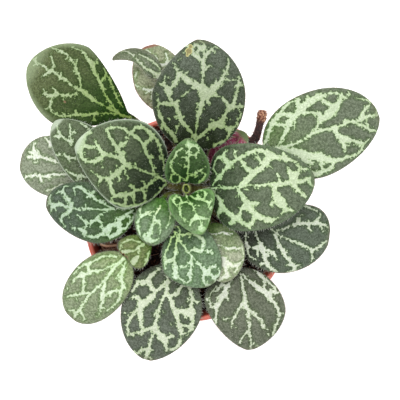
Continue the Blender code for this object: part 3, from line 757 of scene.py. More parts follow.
class VeinNet:
    """The pale net of one leaf, as many short straight pieces on the view, each with its two widths."""
    web = 0.25              # how far the corners between veins are filled, in view steps
    slim = 0.95             # what is left of a drawn width, because the noise widens it again
    thread = 0.62           # half-width that keeps a thin vein whole whatever the noise does
    thorn_spacing = 3.2
    thorn_reach = (0.5, 2.4)
    thornless = 0.6         # full width below which a vein has no thorns

    def __init__(self, leaf: Leaf, seed: int) -> None:
        """Draw the net.

        Args:
            leaf: The leaf that it belongs to.
            seed: For the spurs.
        """
        self.leaf = leaf
        self.draw = np.random.default_rng(seed)
        self.starts: list[np.ndarray] = []
        self.ends: list[np.ndarray] = []
        self.unit = VIEW_WIDTH / VIEW_STEPS
        for sketch in leaf.sketches:
            for path, widths in sketch.veins():
                self.lay(path, widths)

    def lay(self, path: np.ndarray, widths: np.ndarray) -> None:
        """Add a vein, smoothed, with short thorns on both sides.

        Args:
            path: Points on the view.
            widths: Full widths from its start to its end, in view steps.
        """
        smooth = through(path, 5) if len(path) > 2 else path
        along = np.linspace(0, 1, len(smooth))
        half = np.interp(along, np.linspace(0, 1, len(widths)), widths) / 2 * self.slim
        half *= 1 + 0.25 * bumps(smooth, 7.0, int(self.draw.integers(1000)), 4)
        thread = np.maximum(0.5 * half, self.thread) * np.clip(8 * (1 - along), 0.2, 1)
        line = np.column_stack([smooth, half, thread])
        self.starts.append(line[:-1])
        self.ends.append(line[1:])
        step = np.diff(smooth, axis=0)
        length = np.hypot(*step.T)
        total = length.sum()
        count = int(total / self.thorn_spacing)
        if count < 1 or widths.max() < self.thornless:
            return
        where = np.sort(self.draw.uniform(0.03, 0.97, count)) * total
        index = np.clip(np.searchsorted(np.cumsum(length), where), 0, len(step) - 1)
        share = self.draw.uniform(0, 1, count)[:, None]
        root = smooth[index] + step[index] * share
        ahead = step[index] / length[index][:, None]
        side = self.draw.choice([-1, 1], count)[:, None]
        way = ahead * self.draw.normal(0.2, 0.5, (count, 1)) + side * np.stack([-ahead[:, 1], ahead[:, 0]], 1)
        reach = half[index] + self.draw.uniform(*self.thorn_reach, count)
        tip = root + unit(way) * reach[:, None]
        foot = np.minimum(half[index], 0.9) * 0.8
        self.starts.append(np.column_stack([root, foot, foot * 0.5]))
        self.ends.append(np.column_stack([tip, np.full((count, 2), 0.02)]))

    def distance(self, points: np.ndarray) -> tuple[np.ndarray, np.ndarray]:
        """How far points lie outside the nearest vein, distance less half-width, and outside its thread.

        Where veins meet, the least is smoothed, −w·ln Σ exp(−d/w), so that they are webbed together.

        Args:
            points: Points of the leaf in millimetres, in a grid.

        Returns:
            Millimetres outside the vein and outside its thread, less than 0 inside.
        """
        flat = on_the_view(points).reshape(-1, 2).astype(np.float32)
        start = np.concatenate(self.starts).astype(np.float32)
        run = np.concatenate(self.ends).astype(np.float32) - start
        across = np.maximum((run[:, :2] ** 2).sum(1), 1e-9)
        result = np.empty((2, len(flat)), np.float32)
        first_of_vein = np.cumsum([0] + [len(item) for item in self.starts[:-1]])
        for first in range(0, len(flat), 2000):
            gap = flat[first:first + 2000, None] - start[None, :, :2]
            t = np.clip((gap * run[None, :, :2]).sum(-1) / across, 0, 1)
            away = np.hypot(gap[..., 0] - t * run[:, 0], gap[..., 1] - t * run[:, 1])
            each = np.minimum.reduceat(away - start[:, 2] - t * run[:, 2], first_of_vein, axis=1)
            least = each.min(1)
            near = np.exp((least[:, None] - each) / self.web).sum(1)
            result[0, first:first + 2000] = least - self.web * np.log(near)
            result[1, first:first + 2000] = (away - start[:, 3] - t * run[:, 3]).min(1)
        vein, thread = result.reshape(2, *points.shape[:-1]) * self.unit
        return vein, thread


@dataclass
class Rosette:
    """All the leaves, each a closed sheet with its net, its relief and its hairs."""
    leaves: tuple[Leaf, ...]
    petiole_half_width: float = 1.3
    petiole_half_depth: float = 0.95
    blade_half_depth: float = 0.33
    keel_depth: float = 0.5
    keel_half_width: float = 1.2
    spacing: float = 0.42          # between the points of a leaf's grid
    puff: float = 0.2              # how far the islands swell between the veins
    fringe_spacing: float = 0.8    # between the long hairs of the margins
    fringe_reach: tuple[float, float] = (0.5, 1.8)
    down_per_area: float = 1.3     # hairs a square millimetre
    down_reach: tuple[float, float] = (0.25, 0.6)
    stem_end: float = 0.02         # where along the leaf the petiole's down stops
    stem_down: float = 3.0         # how much denser it is than the blade's

    def grid(self, leaf: Leaf) -> tuple[np.ndarray, np.ndarray]:
        """Places of the grid's points, closer together at both ends of the blade and at the margins."""
        spacing = self.spacing * 1.0
        length = np.linalg.norm(np.array(leaf.tip) - np.array(leaf.base))
        start, _ = leaf.centre_line(np.array([-1.0]))
        stem = np.linalg.norm(np.array(leaf.base) - start[0])
        rows = int(length / spacing)
        u = np.linspace(0, 1, rows + 1)
        blade = u - 0.06 * np.sin(2 * np.pi * u)
        petiole = np.linspace(-1, 0, max(6, int(stem / spacing / 2)), endpoint=False)
        columns = 2 * int((leaf.left.width + leaf.right.width) / spacing / 2)
        w = np.linspace(-1, 1, columns + 1)
        across = w + 0.05 * np.sin(np.pi * w) * np.abs(w)
        return np.meshgrid(np.concatenate([petiole, blade]), across, indexing="ij")

    def build_leaf(self, leaf: Leaf, seed: int) -> bpy.types.Object:
        """Build one leaf.

        The upper and lower faces lie half a thickness to each side of the middle sheet, along its
        normals. The thickness goes from the petiole's oval, √(1 − v²), to the blade's, which is
        rounded off at the margins, and the islands between the veins swell by 1 − exp(−d²), where d
        is the distance to the nearest vein.

        Args:
            leaf: The leaf.
            seed: For its net and hairs.

        Returns:
            The piece, which stands for the leaf's node.
        """
        s, v = self.grid(leaf)
        middle, across = leaf.middle_sheet(s, v)
        normal = leaf.normals(s, v)
        net = VeinNet(leaf, seed)
        vein, thread = net.distance(middle)
        flat = smooth_step(-0.1, 0.3, s)
        width = np.abs(across[:, -1:]) + np.abs(across[:, :1])
        room = np.minimum(1 - np.abs(v), 1.6 * (1 - s)) * width / 2
        edge = np.where(s > 0, room, 5)
        swell = 1 - np.exp(-(np.clip(vein, 0, None) / 0.9) ** 2)
        relief = self.puff * flat * (swell - 0.5) * smooth_step(0, 1.2, edge)
        relief += 0.12 * flat * bumps(middle, 9.0, seed) * smooth_step(0, 2.0, edge)
        middle = middle + normal * relief[..., None]
        lens = np.sqrt(np.clip(1 - np.abs(v) ** 14, 0, 1))
        oval = self.petiole_half_depth * leaf.petiole * np.sqrt(np.clip(1 - v**2, 0, 1))
        keel = self.keel_depth * (1 - np.clip(s, 0, 1)) * np.exp(-(across / self.keel_half_width) ** 2)
        upper = (1 - flat) * oval + flat * self.blade_half_depth * lens
        lower = (1 - flat) * oval + flat * (self.blade_half_depth + keel) * lens
        top = middle + normal * upper[..., None]
        bottom = middle - normal * lower[..., None]

        def ring(above: np.ndarray, below: np.ndarray) -> np.ndarray:
            """Values along the top of each row, then back along its underside."""
            return np.concatenate([above, below[:, -2:0:-1]], axis=1)

        marks = {"vein": ring(vein, vein), "thread": ring(thread, thread), "edge": ring(edge, edge),
                 "along": ring(s, s), "under": ring(np.zeros_like(s), np.ones_like(s))}
        if leaf.spots:
            right, down = np.moveaxis(on_the_view(middle), -1, 0)
            spot = np.min([np.hypot(right - x, down - y) - r for x, y, r in leaf.spots], axis=0)
            marks["spot"] = ring(spot * net.unit, np.ones_like(s))
        values = {name: np.append(value[:-1], [value[0, 0], value[-1, 0]]) for name, value in marks.items()}
        skin = Skin()
        start, end = middle[0, middle.shape[1] // 2], (top[-1, 0] + bottom[-1, 0]) / 2
        skin.add(*capped(ring(top, bottom)[:-1], start, end), **values)
        draw = np.random.default_rng(seed + 500)
        self.add_fringe(skin, top, draw)
        self.add_down(skin, leaf, top, bottom, normal, s, draw)
        piece = skin.make("scene_" + leaf.name,
                          [leaf.finish.dress("skin of " + leaf.name, bool(leaf.spots)), WHITE_HAIRS.dress()])
        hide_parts(leaf.name)
        return piece

    def add_fringe(self, skin: Skin, top: np.ndarray, draw: np.random.Generator) -> None:
        """Grow long hairs along both margins.

        Args:
            skin: The leaf's mesh.
            top: Points of its upper face.
            draw: For their places and ways.
        """
        for column, inner in ((0, 3), (-1, -4)):
            line = top[:, column]
            length = np.append(0, np.cumsum(np.linalg.norm(np.diff(line, axis=0), axis=1)))
            where = np.arange(0.3, length[-1] - 0.05, self.fringe_spacing)
            where = where + draw.uniform(-0.4, 0.4, len(where))
            out = unit(line - top[:, inner])
            root, way = (np.stack([np.interp(where, length, values[:, axis]) for axis in range(3)], 1)
                         for values in (line, out))
            way = unit(way + (draw.normal(0, 0.33, way.shape) + [0, 0, 0.2]))
            reach = draw.uniform(*self.fringe_reach, len(where))
            thick = draw.uniform(0.045, 0.075, len(where))
            skin.add(*long_hairs(root, way, reach, thick, 0.12), finish=1)

    def add_down(self, skin: Skin, leaf: Leaf, top: np.ndarray, bottom: np.ndarray, normal: np.ndarray,
                 s: np.ndarray, draw: np.random.Generator) -> None:
        """Grow short hairs on both faces, fewer below, and more and longer ones on the petiole.

        Args:
            skin: The leaf's mesh.
            leaf: The leaf.
            top: Points of its upper face.
            bottom: Points of its lower face.
            normal: Upward unit normals.
            s: Places along the leaf.
            draw: For their places and ways.
        """
        cell = np.linalg.norm(np.cross(top[1:, :-1] - top[:-1, :-1], top[:-1, 1:] - top[:-1, :-1]), axis=-1)
        chance = cell.ravel() * np.where(s[:-1, :-1].ravel() < self.stem_end, self.stem_down, 1.0)
        for face, side, thicker in ((top, 1, 1.0), (bottom, -1, 0.5)):
            share = leaf.finish.hairy * thicker * 1
            count = int(self.down_per_area * share * chance.sum())
            if not count:
                continue
            pick = draw.choice(cell.size, count, p=chance / chance.sum())
            row, column = np.divmod(pick, cell.shape[1])
            a, b = draw.uniform(0, 1, (2, count, 1))
            root = (face[row, column] * (1 - a) * (1 - b) + face[row + 1, column] * a * (1 - b)
                    + face[row, column + 1] * (1 - a) * b + face[row + 1, column + 1] * a * b)
            way = side * normal[row, column] + draw.normal(0, 0.5, (count, 3))
            stem = s[row, column] < self.stem_end
            out = root - face[row, face.shape[1] // 2]
            away = np.maximum(np.linalg.norm(out, axis=1, keepdims=True), 0.1)
            way += np.where(stem[:, None], out / away, 0)
            reach = draw.uniform(*self.down_reach, count) * np.where(stem, 1.9, 1.0)
            skin.add(*short_hairs(root, unit(way), reach, np.where(stem, 0.032, 0.022)), finish=1)

    def build(self) -> list[bpy.types.Object]:
        """Build every leaf in its order, lowest first."""
        return [self.build_leaf(leaf, number * 11 + 3) for number, leaf in enumerate(self.leaves)]


@dataclass(frozen=True)
class CrownFinish:
    """Corky brown at the soil, yellow green and fresh toward the bud, dark in the bud's fold."""
    old: tuple[Colour, Colour] = ((78, 62, 40), (128, 112, 74))
    fresh: tuple[Colour, Colour] = ((150, 172, 62), (216, 230, 130))
    fold: Colour = (52, 70, 14)

    def dress(self) -> bpy.types.Material:
        """Make the material."""
        paint = Paint("green crown", 0.6)
        stem = paint.lay(paint.mark("young"), paint.cloudy(paint.noise(1.2), *self.old),
                         paint.cloudy(paint.noise(1.0), *self.fresh))
        paint.colour(paint.lay(paint.mark("fold"), stem, seen(*self.fold)))
        paint.bump(paint.noise(0.5, 4.0), 0.1)
        paint.set(Specular_IOR_Level=0.15)
        return paint.material


@dataclass
class Crown:
    """The short stem with its leaf scars, and the bud of tiny leaves that grows out of its top."""
    foot: float = -18.0
    top: float = 13.5
    soil_radius: float = 4.0
    top_radius: float = 1.1
    scar_spacing: float = 2.4
    hairs: int = 700
    bud: tuple[tuple[float, float, float], ...] = (     # way in degrees, size and distance from the axis
        (8, 1.0, 0.78), (188, 0.95, 0.78), (98, 0.75, 1.25), (278, 0.78, 1.25))
    bud_high: float = 1.9       # half sizes of its largest leaf
    bud_wide: float = 1.25
    bud_thick: float = 0.55
    bud_lean: float = 8.0
    bud_hairs: int = 160
    finish: CrownFinish = CrownFinish()

    @classmethod
    def radius(cls, height: float) -> float:
        """Its radius, which falls evenly from the soil to its top."""
        along = np.clip((height - SOIL_TOP) / (cls.top - SOIL_TOP), 0, 1)
        return cls.soil_radius + (cls.top_radius - cls.soil_radius) * along

    def build(self) -> bpy.types.Object:
        """Build the stem and its bud.

        The stem is a turned surface whose radius waves with the height, at the scars' spacing, and
        with the angle.

        Returns:
            The piece.
        """
        skin = Skin()
        h, a = turned(np.linspace(self.foot, self.top, 110), 48)
        scar = np.abs(np.sin(np.pi * h / self.scar_spacing + 0.6 * np.sin(2 * a)))
        r = self.radius(h) - 0.28 * (1 - scar) ** 2
        points = np.concatenate([CROWN_AT + polar(r, a), h[..., None]], axis=-1)
        points[..., :2] += 0.1 * bumps(points, 2.5, 8)[..., None] * polar(1.0, a)
        flat, quads, caps = capped(points, [*CROWN_AT, self.foot], [*CROWN_AT, self.top + 0.3])
        skin.add(flat, quads, caps, young=smooth_step(2, self.top, flat[:, 2]))
        draw = np.random.default_rng(5)
        pick = draw.choice(points[..., 0].size, self.hairs)
        out = np.stack([np.cos(a), np.sin(a), 0.3 + 0 * a], axis=-1).reshape(-1, 3)[pick]
        reach = draw.uniform(0.4, 1.1, self.hairs)
        skin.add(*short_hairs(flat[pick], unit(out), reach, np.full(self.hairs, 0.03)), finish=1)
        for turn, size, away in self.bud:
            self.add_bud_leaf(skin, math.radians(turn), size, away, draw)
        piece = skin.make("scene_crown", [self.finish.dress(), WHITE_HAIRS.dress()])
        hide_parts("crown")
        return piece

    def add_bud_leaf(self, skin: Skin, turn: float, size: float, away: float,
                     draw: np.random.Generator) -> None:
        """Add one bud leaf with its hairs.

        It is a pointed lens, an oval whose thickness and width follow √(1 − t²) from foot to point,
        with a crease down its inner face.

        Args:
            skin: The crown's mesh.
            turn: The way that it faces, in radians.
            size: Its size next to the largest.
            away: How far it stands from the crown's axis.
            draw: For its hairs.
        """
        t, a = turned(np.sin(np.linspace(-1, 1, 26) * np.pi / 2), 32)
        round_off = np.sqrt(np.clip(1 - t**2, 0, 1)) * (1 - 0.25 * t)
        crease = 0.25 * np.exp(-(np.sin(a) * 1.6) ** 2) * (np.cos(a) < 0) * round_off
        x = self.bud_thick * np.cos(a) * round_off - crease
        y = self.bud_wide * size * np.sin(a) * round_off
        z = self.bud_high * size * t
        lean = math.radians(self.bud_lean)
        x, z = x * math.cos(lean) + z * math.sin(lean) + away, z * math.cos(lean) - x * math.sin(lean)
        points = np.stack([CROWN_AT[0] + x * math.cos(turn) - y * math.sin(turn),
                           CROWN_AT[1] + x * math.sin(turn) + y * math.cos(turn),
                           z + self.top + size], axis=-1)
        flat, quads, caps = capped(points[1:-1], points[0, 0], points[-1, 0])
        fold = np.append(smooth_step(0.1, 0.7, -np.cos(a[1:-1])), [0, 0])
        skin.add(flat, quads, caps, young=np.ones(len(flat)), fold=fold)
        pick = draw.choice(len(flat) - 2, self.bud_hairs)
        out = unit(flat[pick] - flat[:-2].mean(0) + [0, 0, 0.6])
        reach = draw.uniform(0.25, 0.7, self.bud_hairs)
        skin.add(*short_hairs(flat[pick], out, reach, np.full(self.bud_hairs, 0.022)), finish=1)


@dataclass(frozen=True)
class StalkFinish:
    """Nearly black bark in streaks, and a rusty knob mottled with pale painted highlights and dark pits."""
    bark: tuple[Colour, Colour] = ((26, 6, 8), (96, 42, 36))
    # The knob's rusty brown, and the pale colour of its painted highlights.
    wood: tuple[Colour, Colour] = ((118, 52, 38), (244, 188, 150))
    pit: Colour = (84, 34, 28)

    def dress(self) -> bpy.types.Material:
        """Make the material."""
        paint = Paint("dried brown", 0.75)
        streak = paint.noise(0.7, 5.0, 0.7)
        bark = paint.cloudy(paint.rise(streak, 0.4, 0.75), *self.bark)
        wood = paint.cloudy(paint.rise(paint.noise(0.8, 2.0), 0.36, 0.66), *self.wood)
        wood = paint.lay(paint.rise(paint.cells(0.9), 0.35, 0.15), wood, seen(*self.pit))
        paint.colour(paint.lay(paint.mark("cut"), bark, wood))
        paint.bump(streak, 0.25)
        return paint.material


@dataclass
class DriedStalk:
    """The cut stump of an old stalk, furrowed and hairy, with a paler knob at its end."""
    path: tuple[tuple[float, float, float, float], ...] = (         # x, y, height over the rim and radius
        (15.5, 23.5, -14.0, 1.6), (15.5, 23.5, -7.0, 1.6), (16.2, 24.0, -4.0, 1.6), (19.0, 25.8, -0.6, 1.6),
        (22.4, 28.0, 1.7, 1.6), (25.5, 30.2, 2.8, 1.6), (26.7, 33.4, 3.6, 1.4), (27.5, 36.4, 4.0, 1.35),
        (28.0, 37.9, 4.1, 1.75), (28.2, 39.9, 4.2, 1.7), (28.3, 41.0, 4.2, 1.05))
    sides: int = 44
    span_steps: int = 12
    bare_spans: int = 3         # spans at the foot that grow no hairs
    knob_from: float = 36.2     # y at which the knob begins
    knob_full: float = 38.0
    hairs: int = 420
    finish: StalkFinish = StalkFinish()

    def build(self) -> bpy.types.Object:
        """Build it as a ring carried along the path, with furrows by the angle and lumps on its knob.

        Returns:
            The piece.
        """
        drawn = through(np.array(self.path), self.span_steps)
        line, radius = drawn[:, :3], drawn[:, 3:]
        way = unit(np.gradient(line, axis=0))
        t = np.linspace(0, 1, len(line))[:, None]
        knob = smooth_step(self.knob_from, self.knob_full, line[:, 1:2])
        a = np.linspace(0, 2 * np.pi, self.sides, endpoint=False)
        furrow = 0.1 * np.sin(5 * a + 9 * t) + 0.06 * np.sin(11 * a - 15 * t)
        lump = 0.09 * np.sin(4 * a + 70 * t) + 0.07 * np.sin(7 * a - 110 * t)
        r = radius * (0.97 + furrow * (1 - 0.6 * knob) + lump * knob)
        ring = spokes(way, (0.2, -0.9, 0.4), a)
        points = line[:, None] + ring * r[..., None]
        end = [line[-1] + (points[-1] - line[-1]) * share + way[-1] * depth
               for share, depth in ((0.75, 0.12), (0.4, 0.0))]
        flat, quads, caps = capped(np.concatenate([points, end]), line[0], line[-1] - way[-1] * 0.1)
        paler = np.concatenate([np.repeat(knob.ravel(), self.sides), np.ones(2 * self.sides), [0, 1]])
        skin = Skin()
        skin.add(flat, quads, caps, cut=paler)
        draw = np.random.default_rng(9)
        count = self.hairs
        row = draw.integers(self.bare_spans * self.span_steps, len(line) - 1, count)
        column = draw.integers(0, self.sides, count)
        out = ring[row, column] + way[row] * draw.normal(0.2, 0.8, (count, 1))
        out += draw.normal(0, 0.35, (count, 3))
        reach = draw.uniform(0.4, 1.0, count) ** 2 * 2.2
        thick = draw.uniform(0.04, 0.075, count)
        skin.add(*long_hairs(points[row, column], unit(out), reach, thick, 0.25), finish=1)
        piece = skin.make("scene_dried_stalk", [self.finish.dress(), DRY_HAIRS.dress()])
        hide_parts("dried_stalk")
        return piece


@dataclass(frozen=True)
class PotFinish:
    """Orange plastic, a little chalky, with dust and soil splashes."""
    plastic: tuple[Colour, Colour] = ((226, 104, 82), (242, 128, 102))
    dust: Colour = (236, 172, 148)
    splash: Colour = (92, 58, 42)

    def dress(self) -> bpy.types.Material:
        """Make the material."""
        paint = Paint("orange plastic", 0.42)
        body = paint.cloudy(paint.noise(14.0, 4.0, 0.6), *self.plastic)
        body = paint.lay(paint.rise(paint.noise(2.2, 6.0, 0.7), 0.56, 0.8, 0.45), body, seen(*self.dust))
        speck = paint.rise(paint.cells(1.1), 0.16, 0.08, 0.6)
        rare = paint.rise(paint.noise(6.0, 2.0), 0.58, 0.68)
        paint.colour(paint.lay(paint.math("MULTIPLY", speck, rare), body, seen(*self.splash)))
        paint.bump(paint.noise(0.5, 3.0), 0.02)
        return paint.material


@dataclass
class Pot:
    """The round plastic pot: one turned wall with a rolled lip, a band and drainage holes."""
    rim: float = 39.2
    base: float = 27.0
    wall: float = 1.2
    floor: float = 1.6
    band: float = 9.0
    step: float = 1.3
    lip: float = 1.0
    holes: int = 8
    hole_radius: float = 2.5
    hole_circle: float = 18.5
    hole_turn: float = 11.0
    sides: int = 192
    finish: PotFinish = PotFinish()

    def outer(self, height: np.ndarray) -> np.ndarray:
        """Outer radius of the tapered body at a height over its foot."""
        top = self.rim - self.lip - self.step
        return self.base + (top - self.base) * height / (POT_HEIGHT - self.band)

    def profile(self) -> np.ndarray:
        """Radius and height over the foot, from the middle of the floor inside, over the lip, down the
        outside and back to the middle underneath, with every corner rounded."""
        foot_of_band = POT_HEIGHT - self.band
        inside = np.linspace(self.floor + 1.0, foot_of_band, 14)
        wall = np.stack([self.outer(inside) - self.wall, inside], 1)
        throat = np.linspace(foot_of_band + 0.8, POT_HEIGHT - self.lip - 0.4, 6)
        neck = np.stack([np.linspace(wall[-1, 0] + 0.35, self.rim - 2 * self.lip, 6), throat], 1)
        turn = np.radians(np.linspace(170, 0, 14))
        lip = np.stack([self.rim - self.lip + self.lip * np.cos(turn),
                        POT_HEIGHT - self.lip + self.lip * np.sin(turn)], 1)
        band = np.array([(self.rim - 0.22, POT_HEIGHT - 2.6), (self.rim - 0.3, POT_HEIGHT - 3.0),
                         (self.rim - 0.45, foot_of_band + 0.7), (self.rim - 0.6, foot_of_band + 0.25),
                         (self.rim - 0.95, foot_of_band), (self.outer(foot_of_band) + 0.35, foot_of_band),
                         (self.outer(foot_of_band - 0.3) + 0.08, foot_of_band - 0.3)])
        down = np.linspace(foot_of_band - 0.9, 3.2, 26)
        body = np.stack([self.outer(down), down], 1)
        foot = np.array([(self.outer(2.9), 2.9), (self.outer(2.6) - 0.16, 2.6), (self.outer(1.0) - 0.18, 1.0),
                         (self.outer(0.5) - 0.3, 0.4), (self.base - 0.8, 0.0), (23.6, 0.0), (23.2, 0.35),
                         (22.4, 0.35), (22.0, 0.0), (11.0, 0.0)])
        middle = np.array([(11.0, self.floor), (22.0, self.floor), (wall[0, 0] - 0.8, self.floor + 0.1)])
        return np.concatenate([middle, wall, neck, lip, band, body, foot])

    def build(self) -> bpy.types.Object:
        """Turn the profile round the pot's axis and cut the drainage holes.

        Returns:
            The piece.
        """
        outline = self.profile()
        radius, height = outline[:, :1], outline[:, 1:] - POT_HEIGHT
        a = np.linspace(0, 2 * np.pi, self.sides, endpoint=False)
        points = np.stack([radius * np.cos(a), radius * np.sin(a), height + 0 * a], axis=-1)
        flat, quads, caps = capped(points, [0, 0, self.floor - POT_HEIGHT], [0, 0, -POT_HEIGHT])
        skin = Skin()
        skin.add(flat, quads[:, ::-1], caps[:, ::-1])
        piece = skin.make("scene_pot", [self.finish.dress()])
        cutter = self.drain_cutter()
        cut = piece.modifiers.new("Drainage", "BOOLEAN")
        cut.operation = "DIFFERENCE"
        cut.object = cutter
        bpy.context.view_layer.update()
        drilled = piece.evaluated_get(bpy.context.evaluated_depsgraph_get())
        mesh = bpy.data.meshes.new_from_object(drilled)
        piece.modifiers.clear()
        piece.data = mesh
        bpy.data.objects.remove(cutter, do_unlink=True)
        mesh.shade_smooth()
        mesh.set_sharp_from_angle(angle=math.radians(40))
        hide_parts("pot")
        return piece

    def drain_cutter(self) -> bpy.types.Object:
        """All the drainage holes as one mesh of upright cylinders."""
        shape = bmesh.new()
        for number in range(self.holes):
            angle = math.radians(self.hole_turn + 360 * number / self.holes)
            made = bmesh.ops.create_cone(shape, cap_ends=True, segments=32, radius1=self.hole_radius * MM,
                                         radius2=self.hole_radius * MM, depth=8 * MM)
            bmesh.ops.translate(shape, verts=made["verts"], vec=(
                self.hole_circle * math.cos(angle) * MM, self.hole_circle * math.sin(angle) * MM, 0))
        mesh = bpy.data.meshes.new("drain_cutter")
        shape.to_mesh(mesh)
        shape.free()
        return add_object("drain_cutter", mesh)


@dataclass(frozen=True)
class PeatFinish:
    """Damp peat: near black in the hollows, brown and reddish on the crumbs."""
    earth: tuple[Colour, Colour] = ((24, 14, 10), (96, 62, 44))
    rust: Colour = (128, 78, 48)

    def dress(self) -> bpy.types.Material:
        """Make the material."""
        paint = Paint("dark soil", 0.9)
        earth = paint.cloudy(paint.rise(paint.noise(1.6, 6.0, 0.7), 0.38, 0.7), *self.earth)
        rust = paint.rise(paint.noise(3.5, 3.0), 0.55, 0.7, 0.5)
        paint.colour(paint.lay(rust, earth, seen(*self.rust)))
        paint.bump(paint.noise(0.5, 6.0, 0.75), 0.5)
        return paint.material


@dataclass(frozen=True)
class LitterFinish:
    """Loose bits, each with a tone of its own between two colours, and mottled by noise."""
    name: str
    roughness: float
    deep: Colour
    light: Colour
    grain: float                # size of the mottling
    detail: float
    share: float                # how strong it is
    mottle: tuple[Colour, Colour]
    relief: float = 0.0

    def dress(self) -> bpy.types.Material:
        """Make the material."""
        paint = Paint(self.name, self.roughness)
        tone = paint.cloudy(paint.mark("tone"), self.deep, self.light)
        mottle = paint.lay(paint.noise(self.grain, self.detail), *self.mottle)
        paint.colour(paint.tinted(tone, self.share, mottle))
        if self.relief:
            paint.bump(paint.noise(0.3, 4.0), self.relief)
        return paint.material


CRUMBS = LitterFinish("peat crumbs", 0.85, (26, 16, 12), (140, 92, 62), 0.4, 4.0, 0.5,
                      ((0.5, 0.5, 0.5), (1.5, 1.4, 1.3)), relief=0.15)
FIBRES = LitterFinish("coir fibres", 0.7, (128, 60, 38), (255, 206, 166), 0.8, 3.0, 0.4,
                      ((0.6, 0.6, 0.6), (1.4, 1.4, 1.4)))


